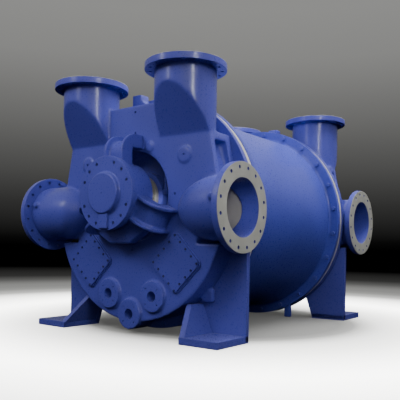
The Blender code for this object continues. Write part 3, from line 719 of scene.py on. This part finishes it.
# Bearing brackets: each bearing sits in a round housing that three arms hold out in front
# of the head's face. It is one casting, with arms like open channels so that the packing
# can be reached between them, and a bowl between the two lower arms.
HOUSING_RADIUS = 0.235
HOUSING_START_Y = 1.080
HOUSING_FLANGE_RADIUS = 0.262
HOUSING_FLANGE_Y = 1.272
HOUSING_END_Y = 1.300
HOUSING_BORE_RADIUS = 0.087
HOUSING_FLANGE_ROUND = 0.004
THROUGH_Y = 2.0
ARM_ANGLES = (90.0, -27.0, 207.0)
ARM_WIDTH = 0.190
ARM_ROOT = 0.150
ARM_SHOULDER = 0.300
ARM_TIP = 0.445
ARM_CREST_Y = 1.262
ARM_KNEE_Y = 1.110
ARM_BACK_Y = 1.150
ARM_FOOT_INNER = 0.345
ARM_POCKET_DEPTH = 0.040
ARM_POCKET_INNER = 0.222
ARM_FLANGE_THICKNESS = 0.026
ARM_CUT_BELOW_FACE = 0.040
ARM_CUT_PAST = 0.200
APRON_RADIUS = 0.350
APRON_BOTTOM_Z = 0.667
APRON_BOTTOM_HALF_WIDTH = 0.095
APRON_BACK_Y = 1.100
APRON_FRONT_Y = 1.190
APRON_ROUND = 0.030
HOUSING_SINK = 0.010
COVER_CLEARANCE = 0.0012
BRACKET_VOXEL = 0.0065
BRACKET_FILLET = 0.022
BRACKET_FILLET_ROUNDS = 20
BRACKET_SHARE = 0.6


def arm_curve(inset):
    """Points (reach, y) over the crest of an arm and down to its knee."""
    return [(ARM_SHOULDER + (ARM_TIP - ARM_SHOULDER - inset) * math.sin(math.radians(a)),
             ARM_KNEE_Y + (ARM_CREST_Y - ARM_KNEE_Y - inset) * math.cos(math.radians(a)))
            for a in range(0, 91, 10)]


def arm_lump(degrees):
    """One arm with its open channel, turned to its place round the shaft."""
    half = ARM_WIDTH / 2
    outline = [(ARM_ROOT, ARM_BACK_Y), (ARM_ROOT, ARM_CREST_Y)] + arm_curve(0.0)
    outline += [(ARM_TIP, FACE_Y), (ARM_FOOT_INNER, FACE_Y), (ARM_FOOT_INNER, ARM_BACK_Y)]
    crest = ARM_CREST_Y - ARM_POCKET_DEPTH
    hollow = [(ARM_POCKET_INNER, crest)] + arm_curve(ARM_POCKET_DEPTH)
    low = FACE_Y - ARM_CUT_BELOW_FACE
    far = ARM_TIP + ARM_CUT_PAST
    high = ARM_CREST_Y + ARM_CUT_PAST
    hollow += [(ARM_TIP - ARM_POCKET_DEPTH, low), (far, low), (far, high),
               (ARM_POCKET_INNER, high)]
    inner = half - ARM_FLANGE_THICKNESS
    arm = bmesh.new()
    arm.from_mesh(combined(drawn(outline, -half, half), cut=[drawn(hollow, -inner, inner)]))
    place = Matrix.Translation((0.0, 0.0, SHAFT_Z)) @ Matrix.Rotation(math.radians(-degrees), 4, "Y")
    return moved(arm, place @ Matrix.Rotation(math.pi / 2, 4, "X"))


housing = bar((0.0, -HOUSING_START_Y, SHAFT_Z), (0.0, -HOUSING_FLANGE_Y - HOUSING_SINK, SHAFT_Z),
              HOUSING_RADIUS, 128)
bowl = arc((0.0, SHAFT_Z), APRON_RADIUS, -35, -65, 8)
bowl += [(APRON_BOTTOM_HALF_WIDTH, APRON_BOTTOM_Z)]
bowl_outline = bowl + [(-x, z) for x, z in reversed(bowl)]
apron = soften(drawn(bowl_outline, -APRON_FRONT_Y, -APRON_BACK_Y), APRON_ROUND, 4)
bearing_bore = bar((0.0, -THROUGH_Y, SHAFT_Z), (0.0, 0.0, SHAFT_Z), HOUSING_BORE_RADIUS, 64)
bracket_casting = combined(housing, [arm_lump(angle) for angle in ARM_ANGLES] + [apron],
                           [bearing_bore], BRACKET_VOXEL)
relaxed(bracket_casting, BRACKET_VOXEL, BRACKET_FILLET, BRACKET_FILLET_ROUNDS, EVEN_ROUNDS)
bracket_thin = bpy.data.meshes.new("bracket")
thinned(bracket_casting, BRACKET_SHARE).to_mesh(bracket_thin)
for end, turn, sides in ENDS:
    settle(end + "_bracket_casting", bracket_thin, HEAD_BLUE,
           [end + "_bearing_bracket"], turn)
    ring_front_y = -HOUSING_END_Y + COVER_CLEARANCE
    ring = turned([(HOUSING_BORE_RADIUS, -HOUSING_FLANGE_Y),
                   (HOUSING_FLANGE_RADIUS, -HOUSING_FLANGE_Y),
                   (HOUSING_FLANGE_RADIUS, ring_front_y), (HOUSING_BORE_RADIUS, ring_front_y)],
                  128)
    soften(ring, HOUSING_FLANGE_ROUND, 2,
           lambda middle: math.hypot(middle.x, middle.z) > HOUSING_RADIUS)
    moved(ring, Matrix.Translation((0.0, 0.0, SHAFT_Z)))
    settle(end + "_housing_flange", ring, HEAD_BLUE, (), turn)


# Bearing covers: round cast covers that close the bearings, with a raised boss and an oil
# rib below it. Twelve cap screws sit in counterbores round the rim; their much darker blue
# is painted shade of the counterbores. The one at the free end is blind, and the shaft
# comes out of the other through a lip seal.
COVER_RADIUS = 0.265
COVER_RIM_Y = 1.330
COVER_BOSS_RADIUS = 0.147
COVER_BOSS_Y = 1.362
COVER_RIB_HALF_WIDTH = 0.042
COVER_RIB_DROP = 0.252
COVER_RIB_TOP = 0.110
COVER_RIB_Y = 1.350
COVER_SCREW_CIRCLE = 0.226
COVER_SCREW_DEGREES = [22.5 * step for step in range(16) if step % 4]
COUNTERBORE_RADIUS = 0.0125
COUNTERBORE_DEPTH = 0.010
COVER_SCREW_WIDTH = 0.016
COVER_SCREW_HEIGHT = 0.009
COVER_SHAFT_HOLE = 0.0745
PUNCH_RADIUS = 0.006
PUNCH_DEPTH = 0.006
COVER_RIM_ROUND = 0.006
COVER_BOSS_ROUND = 0.014
COVER_RIB_ROUND = 0.012
COVER_RIB_SINK = 0.010
COVER_RIB_TEST = 0.005
COVER_CUT_PAST = 0.010
for end, turn, sides in ENDS:
    cover = turned([(0.0, -HOUSING_END_Y), (COVER_RADIUS, -HOUSING_END_Y),
                    (COVER_RADIUS, -COVER_RIM_Y), (COVER_BOSS_RADIUS, -COVER_RIM_Y),
                    (COVER_BOSS_RADIUS, -COVER_BOSS_Y), (0.0, -COVER_BOSS_Y)], 128, False)
    soften(cover, COVER_RIM_ROUND, 3,
           lambda middle: math.hypot(middle.x, middle.z) > HOUSING_RADIUS)
    soften(cover, COVER_BOSS_ROUND, 4,
           lambda middle: abs(math.hypot(middle.x, middle.z) - COVER_BOSS_RADIUS) < NEARBY)
    rib = soften(slab((-COVER_RIB_HALF_WIDTH, -COVER_RIB_Y, -COVER_RIB_DROP),
                      (COVER_RIB_HALF_WIDTH, -COVER_RIM_Y + COVER_RIB_SINK, -COVER_RIB_TOP)),
                 COVER_RIB_ROUND, 4, lambda middle: middle.z < -COVER_RIB_TOP
                 and middle.y < -COVER_RIM_Y - COVER_RIB_TEST)
    screw_places = [(COVER_SCREW_CIRCLE * math.cos(math.radians(angle)),
                     COVER_SCREW_CIRCLE * math.sin(math.radians(angle)))
                    for angle in COVER_SCREW_DEGREES]
    cuts = [bar((x, -COVER_RIM_Y - COVER_CUT_PAST, z), (x, -COVER_RIM_Y + COUNTERBORE_DEPTH, z),
                COUNTERBORE_RADIUS, 20) for x, z in screw_places]
    if end == "front":
        cuts.append(bar((0.0, -COVER_BOSS_Y - COVER_CUT_PAST, 0.0),
                        (0.0, -COVER_BOSS_Y + PUNCH_DEPTH, 0.0), PUNCH_RADIUS, 16))
    else:
        cuts.append(bar((0.0, -THROUGH_Y, 0.0), (0.0, -THROUGH_Y / 2, 0.0),
                        COVER_SHAFT_HOLE, 64))
    cover_mesh = combined(cover, [rib], cuts)
    spot = turn @ Matrix.Translation((0.0, 0.0, SHAFT_Z))
    settle(end + "_bearing_cap", cover_mesh, HEAD_BLUE,
           [end + "_bearing_cover"], spot)
    screws = repeated(hexagon(COVER_SCREW_WIDTH, COVER_SCREW_HEIGHT),
                      [Matrix.Translation((x, -COVER_RIM_Y + COUNTERBORE_DEPTH, z)) @ FRONTWARD
                       for x, z in screw_places])
    settle(end + "_cap_screws", screws, SHADED_SCREW_BLUE, (), spot)


# Stuffing boxes: rings on the recess floor that hold the soft packing round the sleeve,
# with a bare gland ring in front, pulled in by two studs. A pipe brings the seal water down
# from the head, and the bronze sleeve turns with the shaft inside them.
BOX_INNER = 0.120
BOX_RADIUS = 0.200
BOX_START_Y = 0.880
BOX_END_Y = 0.940
GLAND_INNER = 0.1175
GLAND_RADIUS = 0.165
GLAND_END_Y = 0.975
GLAND_CHAMFER = 0.003
STUD_REACH = 0.143
STUD_RADIUS = 0.010
STUD_END_Y = 1.015
SEAL_PIPE_X = 0.215
SEAL_PIPE_Y = -0.918
SEAL_PIPE_RADIUS = 0.014
SEAL_PIPE_FOOT_Z = 0.020
SEAL_PIPE_TOP_Z = 0.262
UNION_Z = 0.040
UNION_RADIUS = 0.019
UNION_SINK = 0.010
UNION_PAST = 0.018
GLAND_NUT_WIDTH = 0.030
GLAND_NUT_HEIGHT = 0.022
BOX_ROUND = 0.006
BOX_ROUND_TEST = 0.010
SLEEVE_RADIUS = 0.115
SLEEVE_INNER = 0.0855
SLEEVE_START_Y = 0.770
SLEEVE_END_Y = 1.060
SLEEVE_CHAMFER = 0.002
for end, turn, sides in ENDS:
    spot = turn @ Matrix.Translation((0.0, 0.0, SHAFT_Z))
    box = turned([(BOX_INNER, -BOX_START_Y), (BOX_RADIUS, -BOX_START_Y),
                  (BOX_RADIUS, -BOX_END_Y), (BOX_INNER, -BOX_END_Y)], 96)
    soften(box, BOX_ROUND, 3, lambda middle: middle.y < -BOX_START_Y - BOX_ROUND_TEST)
    riser = bar((SEAL_PIPE_X, SEAL_PIPE_Y, SEAL_PIPE_FOOT_Z),
                (SEAL_PIPE_X, SEAL_PIPE_Y, SEAL_PIPE_TOP_Z), SEAL_PIPE_RADIUS, 24)
    union = bar((BOX_RADIUS - UNION_SINK, SEAL_PIPE_Y, UNION_Z),
                (SEAL_PIPE_X + UNION_PAST, SEAL_PIPE_Y, UNION_Z), UNION_RADIUS, 6)
    settle(end + "_packing_box", gathered([box, riser, union]), HEAD_BLUE,
           [end + "_stuffing_box"], spot)
    gland = turned([(GLAND_INNER, -BOX_END_Y), (GLAND_RADIUS, -BOX_END_Y),
                    (GLAND_RADIUS, -GLAND_END_Y), (GLAND_INNER, -GLAND_END_Y)], 96)
    soften(gland, GLAND_CHAMFER, 2)
    stud_spots = [Matrix.Translation((side * STUD_REACH, -GLAND_END_Y, 0.0)) @ FRONTWARD
                  for side in (-1, 1)]
    nuts = repeated(hexagon(GLAND_NUT_WIDTH, GLAND_NUT_HEIGHT), stud_spots)
    studs = [bar((side * STUD_REACH, -BOX_END_Y, 0.0), (side * STUD_REACH, -STUD_END_Y, 0.0),
                 STUD_RADIUS, 20) for side in (-1, 1)]
    gland_iron = machined_iron(end + "_gland_iron", (0.36, 0.35, 0.31), (0.28, 0.27, 0.24),
                               spot.translation, "Y", 1200.0)
    settle(end + "_gland_ring", gathered([gland, nuts] + studs), gland_iron,
           [end + "_packing_gland"], spot)
    sleeve = turned([(SLEEVE_INNER, -SLEEVE_START_Y), (SLEEVE_RADIUS, -SLEEVE_START_Y),
                     (SLEEVE_RADIUS, -SLEEVE_END_Y), (SLEEVE_INNER, -SLEEVE_END_Y)], 96)
    soften(sleeve, SLEEVE_CHAMFER, 2)
    sleeve_bronze = machined_iron(end + "_sleeve_bronze", (0.92, 0.85, 0.60), (0.86, 0.78, 0.53),
                                  spot.translation, "Y", 1400.0,
                                  roughness=0.40, metallic=0.10)
    settle(end + "_sleeve", sleeve, sleeve_bronze, [end + "_shaft_sleeve"], spot, "rotor")


# Shaft: ground steel from the blind bearing to the drive end, where it steps down for the
# coupling. The end has a chamfer and a centre hole, and a steel key with round ends is fitted
# in its keyway, where it stands a little proud.
SHAFT_RADIUS = 0.085
SHAFT_END_RADIUS = 0.070
SHAFT_FRONT_Y = -1.290
SHAFT_STEP_Y = 1.290
SHAFT_REAR_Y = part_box("shaft")[1].y - MIDDLE_Y
CENTRE_HOLE_RADIUS = 0.014
CENTRE_HOLE_POINT = 0.004
CENTRE_HOLE_DEPTH = 0.020
CENTRE_HOLE_PAST = 0.004
key_low, key_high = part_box("drive_key")
KEY_WIDTH = key_high.x - key_low.x
KEY_START_Y = key_low.y - MIDDLE_Y
KEY_END_Y = key_high.y - MIDDLE_Y
KEY_GAP = 0.0003
KEYWAY_PAST = 0.050
SHAFT_CHAMFER = 0.003
KEY_CHAMFER = 0.0015


def key_shape(grow):
    """The key, or its keyway when it is grown, with half-round ends."""
    radius = KEY_WIDTH / 2 + grow
    rear = arc((0.0, KEY_END_Y - KEY_WIDTH / 2), radius, 0, 180, 12)
    front = arc((0.0, KEY_START_Y + KEY_WIDTH / 2), radius, 180, 360, 12)
    top = key_high.z + (KEYWAY_PAST if grow else 0.0)
    bm = drawn(rear + front, -top, -key_low.z + grow)
    return moved(bm, Matrix.Rotation(-math.pi / 2, 4, "X"))


shaft_bar = turned([(0.0, SHAFT_FRONT_Y), (SHAFT_RADIUS, SHAFT_FRONT_Y),
                    (SHAFT_RADIUS, SHAFT_STEP_Y), (SHAFT_END_RADIUS, SHAFT_STEP_Y),
                    (SHAFT_END_RADIUS, SHAFT_REAR_Y), (0.0, SHAFT_REAR_Y)], 96, False)
soften(shaft_bar, SHAFT_CHAMFER, 2)
moved(shaft_bar, Matrix.Translation((0.0, 0.0, SHAFT_Z)))
centre_hole = bar((0.0, SHAFT_REAR_Y + CENTRE_HOLE_PAST, SHAFT_Z),
                  (0.0, SHAFT_REAR_Y - CENTRE_HOLE_DEPTH, SHAFT_Z),
                  CENTRE_HOLE_RADIUS, 32, CENTRE_HOLE_POINT)
shaft_mesh = combined(shaft_bar, cut=[key_shape(KEY_GAP), centre_hole])
shaft_steel = machined_iron("shaft_steel", (0.58, 0.57, 0.55), (0.50, 0.49, 0.47),
                            (0.0, MIDDLE_Y, SHAFT_Z), "Y", 1600.0,
                            roughness=0.28, metallic=1.0)
settle("shaft_bar", shaft_mesh, shaft_steel, ["shaft"], FRONT_TURN, "rotor")
key_bar = soften(key_shape(0.0), KEY_CHAMFER, 2)
settle("key_bar", key_bar, shaft_steel, ["drive_key"], FRONT_TURN, "rotor")


# Inspection covers: two square steel plates on each face with rounded corners, turned to
# stand on a corner, on raised cast pads. Sixteen small screws hold each one down. The plate
# is painted with the head, and the screws are a much darker blue, painted shade that makes
# them read as dark dots.
PLATE_CENTRE_X = 0.427
PLATE_CENTRE_Z = 0.537
PLATE_SIDE = 0.310
PLATE_CORNER = 0.032
PLATE_DEPTH = 0.022
PAD_DEPTH = 0.008
PAD_MARGIN = 0.010
PLATE_SCREW_EDGE = 0.137
PLATE_SCREW_WIDTH = 0.015
PLATE_SCREW_HEIGHT = 0.006
PAD_SINK = 0.005
PAD_ROUND = 0.004
PLATE_ROUND = 0.0025
ON_CORNER = Matrix.Rotation(math.pi / 4, 4, "Y")


def rounded_square(half, corner):
    """The outline of a square about the origin, its corners rounded."""
    reach = half - corner
    return (arc((reach, reach), corner, 0, 90, 6) + arc((-reach, reach), corner, 90, 180, 6)
            + arc((-reach, -reach), corner, 180, 270, 6)
            + arc((reach, -reach), corner, 270, 360, 6))


pitch = PLATE_SCREW_EDGE / 2
screw_grid = [(across * pitch, up * pitch) for across in range(-2, 3) for up in range(-2, 3)
              if max(abs(across), abs(up)) == 2]
for end, turn, sides in ENDS:
    for side in (-1, 1):
        half = PLATE_SIDE / 2
        pad = soften(drawn(rounded_square(half + PAD_MARGIN, PLATE_CORNER + PAD_MARGIN),
                           -FACE_Y - PAD_DEPTH, -FACE_Y + PAD_SINK), PAD_ROUND, 3)
        plate = soften(drawn(rounded_square(half, PLATE_CORNER),
                             -FACE_Y - PLATE_DEPTH, -FACE_Y - PAD_DEPTH), PLATE_ROUND, 2)
        screws = repeated(hexagon(PLATE_SCREW_WIDTH, PLATE_SCREW_HEIGHT),
                          [Matrix.Translation((x, -FACE_Y - PLATE_DEPTH, z)) @ FRONTWARD
                           for x, z in screw_grid])
        spot = turn @ Matrix.Translation((side * PLATE_CENTRE_X, 0.0, PLATE_CENTRE_Z)) @ ON_CORNER
        name = f"{end}_{sides[side]}"
        settle(name + "_inspection_cover", gathered([pad, plate]), HEAD_BLUE,
               [name + "_cover_plate"], spot)
        settle(name + "_cover_screws", screws, SHADED_SCREW_BLUE, (), spot)


# Feet: one under each side of both heads, welded from plate. An upright wall fits round
# the drum, a base plate rests on the foundation, and a leaning rib ties the two together.
# One holding-down bolt goes through each base plate.
FOOT_INNER_X = 0.575
FOOT_OUTER_X = 0.892
FOOT_FRONT_Y = 1.195
FOOT_BACK_Y = 0.822
FOOT_BASE_THICKNESS = 0.050
FOOT_WALL_THICKNESS = 0.040
FOOT_WALL_TOP_Z = 0.670
FOOT_RIB_THICKNESS = 0.045
FOOT_RIB_TOP_Z = 0.250
FOOT_RIB_TOP_FRONT_Y = 1.000
FOOT_HOLE = (0.700, -0.935)
FOOT_HOLE_RADIUS = 0.018
FOOT_SINK = 0.010
FOOT_RIB_SETBACK = 0.004
FOOT_BASE_ROUND = 0.004
FOOT_EDGE_ROUND = 0.003
DRUM_OVERLAP = 0.001
start_angle = math.degrees(math.asin((FOOT_WALL_TOP_Z - AXIS_Z) / DRUM_RADIUS))
end_angle = math.degrees(math.asin((FOOT_RIB_TOP_Z - AXIS_Z) / DRUM_RADIUS))
drum_edge = arc((0.0, AXIS_Z), DRUM_RADIUS - DRUM_OVERLAP, start_angle, end_angle, 24)
rib_top_x = drum_edge[-1][0]
wall_outline = [(FOOT_OUTER_X, FOOT_WALL_TOP_Z)] + drum_edge
wall_outline += [(FOOT_INNER_X, FOOT_SINK), (FOOT_OUTER_X, FOOT_SINK)]
rib_back_y = -FOOT_BACK_Y - FOOT_WALL_THICKNESS + FOOT_SINK
rib_foot_z = FOOT_BASE_THICKNESS - FOOT_SINK
rib_corners = [(FOOT_INNER_X, -FOOT_FRONT_Y + FOOT_RIB_SETBACK, rib_foot_z),
               (FOOT_INNER_X, rib_back_y, rib_foot_z),
               (rib_top_x, rib_back_y, FOOT_RIB_TOP_Z),
               (rib_top_x, -FOOT_RIB_TOP_FRONT_Y, FOOT_RIB_TOP_Z)]
FOOT_BLUE = blue_enamel("foot_enamel", (0.080, 0.088, 0.420), (0.071, 0.078, 0.375), 0.16)
for end, turn, sides in ENDS:
    for side in (-1, 1):
        base = slab((FOOT_INNER_X, -FOOT_FRONT_Y, 0.0),
                    (FOOT_OUTER_X, -FOOT_BACK_Y, FOOT_BASE_THICKNESS))
        hole = bar((*FOOT_HOLE, -CUT_PAST), (*FOOT_HOLE, 2 * FOOT_BASE_THICKNESS),
                   FOOT_HOLE_RADIUS, 32)
        drilled = bmesh.new()
        drilled.from_mesh(combined(soften(base, FOOT_BASE_ROUND, 2), cut=[hole]))
        wall = soften(drawn(wall_outline, -FOOT_BACK_Y - FOOT_WALL_THICKNESS, -FOOT_BACK_Y),
                      FOOT_EDGE_ROUND, 2)
        rib = bmesh.new()
        sheet = rib.faces.new([rib.verts.new(corner) for corner in rib_corners])
        made = bmesh.ops.extrude_face_region(rib, geom=[sheet])
        new_verts = [item for item in made["geom"] if isinstance(item, bmesh.types.BMVert)]
        bmesh.ops.translate(rib, verts=new_verts, vec=(FOOT_RIB_THICKNESS, 0.0, 0.0))
        bmesh.ops.recalc_face_normals(rib, faces=rib.faces)
        soften(rib, FOOT_EDGE_ROUND, 2)
        foot = gathered([drilled, wall, rib])
        mirror = Matrix.Scale(side, 4, (1.0, 0.0, 0.0))
        name = f"{end}_{sides[side]}"
        settle(name + "_foot_weldment", moved(foot, mirror), FOOT_BLUE,
               [name + "_foot"], turn)


# Studio: a pale floor that falls away into the dark behind the pump, under a grey sky that
# brightens with height. The floor's colour holds a painted shadow, darker in a disc under the
# pump, and the floor glows as painted light, brightest in a ring in front of the pump and
# unseen by the pump's diffuse and glossy rays. A broad light hangs overhead, two upright
# strips draw the streaks down the pipes, and two thin beams reach the near nozzle's inside
# and the shaft sleeve.
FLOOR_REACH = 30.0
# Floor grey by distance from the middle: a painted shadow under the pump, pale around it, fading
# into the dark further out.
FLOOR_SHADOW_AND_FADE = ((0.0, 0.28), (1.15, 0.30), (1.42, 0.90), (2.6, 0.90), (3.5, 0.22), (4.7, 0.03),
              (8.0, 0.008), (14.0, 0.0))
# Floor glow by distance: painted light that no lamp gives, dim under the pump and brightest in a
# ring about 2.3 m out.
FLOOR_PAINTED_LIGHT = ((0.0, 0.010), (1.15, 0.010), (1.42, 0.22), (1.7, 0.40), (2.3, 1.0), (2.9, 0.60),
              (3.6, 0.10), (4.2, 0.045), (5.2, 0.039), (6.5, 0.016), (8.0, 0.005), (14.0, 0.0))
FLOOR_PAINTED_LIGHT_STRENGTH = 6.5
SKY_FADE = ((0.0, 0.0), (0.016, 0.004), (0.078, 0.035), (0.105, 0.053), (0.174, 0.105),
            (0.257, 0.180), (0.320, 0.250), (0.390, 0.285), (1.0, 0.300))


def grey_ramp(ramp, steps, reach):
    """Sets a colour ramp to these greys, at distances up to the reach."""
    while len(ramp.elements) < len(steps):
        ramp.elements.new(0.5)
    for element, (distance, grey) in zip(ramp.elements, steps):
        element.position = distance / reach
        element.color = (grey, grey, grey * 0.97, 1.0)


bm = bmesh.new()
bmesh.ops.create_grid(bm, x_segments=1, y_segments=1, size=FLOOR_REACH)
floor_mesh = bpy.data.meshes.new("floor")
bm.to_mesh(floor_mesh)
bm.free()
floor = bpy.data.objects.new("floor", floor_mesh)
bpy.context.scene.collection.objects.link(floor)
floor_finish, floor_shader = blank_finish("floor_painted_shadow_and_light", 0.9)
floor_shader.inputs["Specular IOR Level"].default_value = 0.0
floor_place = add_node(floor_finish, "ShaderNodeTexCoord")
floor_length = add_node(floor_finish, "ShaderNodeVectorMath", operation="LENGTH")
floor_share = add_node(floor_finish, "ShaderNodeMath", operation="DIVIDE")
floor_share.inputs[1].default_value = FLOOR_REACH
floor_shadow_ramp = add_node(floor_finish, "ShaderNodeValToRGB")
grey_ramp(floor_shadow_ramp.color_ramp, FLOOR_SHADOW_AND_FADE, FLOOR_REACH)
painted_light_ramp = add_node(floor_finish, "ShaderNodeValToRGB")
grey_ramp(painted_light_ramp.color_ramp, FLOOR_PAINTED_LIGHT, FLOOR_REACH)
floor_link = floor_finish.node_tree.links.new
floor_link(floor_place.outputs["Object"], floor_length.inputs[0])
floor_link(floor_length.outputs["Value"], floor_share.inputs[0])
floor_link(floor_share.outputs["Value"], floor_shadow_ramp.inputs["Fac"])
floor_link(floor_shadow_ramp.outputs["Color"], floor_shader.inputs["Base Color"])
# The glow ramp drives the floor's emission: painted light on the floor.
floor_link(floor_share.outputs["Value"], painted_light_ramp.inputs["Fac"])
floor_link(painted_light_ramp.outputs["Color"], floor_shader.inputs["Emission Color"])
floor_shader.inputs["Emission Strength"].default_value = FLOOR_PAINTED_LIGHT_STRENGTH
floor_mesh.materials.append(floor_finish)
floor.visible_diffuse = False
floor.visible_glossy = False

world = bpy.data.worlds.new("studio")
bpy.context.scene.world = world
world.use_nodes = True
sky_place = world.node_tree.nodes.new("ShaderNodeTexCoord")
sky_height = world.node_tree.nodes.new("ShaderNodeSeparateXYZ")
sky_ramp = world.node_tree.nodes.new("ShaderNodeValToRGB")
grey_ramp(sky_ramp.color_ramp, SKY_FADE, 1.0)
sky_link = world.node_tree.links.new
sky_link(sky_place.outputs["Generated"], sky_height.inputs["Vector"])
sky_link(sky_height.outputs["Z"], sky_ramp.inputs["Fac"])
sky_link(sky_ramp.outputs["Color"], world.node_tree.nodes["Background"].inputs["Color"])

BEAM_SOURCE_RADIUS = 0.03
BEAMS = (("nozzle_beam", (2.95, -4.20, 0.85), (0.967, -1.152, 0.908), 5.5, 150.0),
         ("sleeve_beam", (2.95, -4.20, 0.95), (0.172, -1.078, 0.990), 1.7, 1100.0))
LIGHTS = (("overhead", (1.25, 0.75, 4.6), (0.0, 0.0, 0.8), 3.6, 3.2, 325.0, False),
          ("right_side", (6.0, 1.0, 3.4), (0.3, 0.0, 1.0), 2.0, 2.0, 24.0, False),
          ("front_left", (-2.2, -5.0, 4.2), (0.0, -1.0, 1.4), 2.5, 2.0, 125.0, False),
          ("camera_side", (3.4, -5.0, 4.0), (0.2, -0.8, 1.4), 2.2, 1.6, 62.0, False),
          ("front_strip", (5.0, -3.4, 3.2), (0.3, -1.0, 1.5), 0.22, 1.8, 58.0, True),
          ("left_strip", (-0.8, -3.6, 3.0), (0.0, -1.0, 1.5), 0.20, 1.2, 9.0, True),
          ("low_fill", (3.5, -5.2, 0.9), (0.4, -0.9, 0.8), 1.2, 0.8, 17.0, False))


def hang(light, place, target, glossy):
    """Puts a light in its place, turned to its target and out of the camera's sight."""
    lamp = bpy.data.objects.new(light.name, light)
    lamp.location = place
    lamp.rotation_euler = (Vector(place) - Vector(target)).to_track_quat("Z", "Y").to_euler()
    lamp.visible_camera = False
    lamp.visible_glossy = glossy
    bpy.context.scene.collection.objects.link(lamp)


for name, place, target, width, height, power, glossy in LIGHTS:
    panel = bpy.data.lights.new(name, "AREA")
    panel.shape = "RECTANGLE"
    panel.size = width
    panel.size_y = height
    panel.energy = power
    hang(panel, place, target, glossy)
for name, place, target, cone, power in BEAMS:
    beam = bpy.data.lights.new(name, "SPOT")
    beam.energy = power
    beam.spot_size = math.radians(cone)
    beam.spot_blend = 1.0
    beam.shadow_soft_size = BEAM_SOURCE_RADIUS
    hang(beam, place, target, False)

CAMERA_PLACE = Vector((2.899, -4.1971, 0.6359))
CAMERA_HEADING = math.radians(36.7738)
CAMERA_ROLL = math.radians(0.9456)
CAMERA_LENS = 50.3725
CAMERA_RISE = 0.1227
CAMERA_SENSOR = 36.0
CAMERA_FAR = 200.0
level_right = Vector((math.cos(CAMERA_HEADING), math.sin(CAMERA_HEADING), 0.0))
level_up = Vector((0.0, 0.0, 1.0))
forward = level_up.cross(level_right)
camera_right = level_right * math.cos(CAMERA_ROLL) + level_up * math.sin(CAMERA_ROLL)
camera_up = level_up * math.cos(CAMERA_ROLL) - level_right * math.sin(CAMERA_ROLL)
camera_data = bpy.data.cameras.new("camera")
camera_data.sensor_width = CAMERA_SENSOR
camera_data.lens = CAMERA_LENS
camera_data.shift_y = CAMERA_RISE
camera_data.clip_end = CAMERA_FAR
camera = bpy.data.objects.new("camera", camera_data)
bpy.context.scene.collection.objects.link(camera)
camera.matrix_world = Matrix.Translation(CAMERA_PLACE) @ Matrix(
    (camera_right, camera_up, -forward)).transposed().to_4x4()
bpy.context.scene.camera = camera
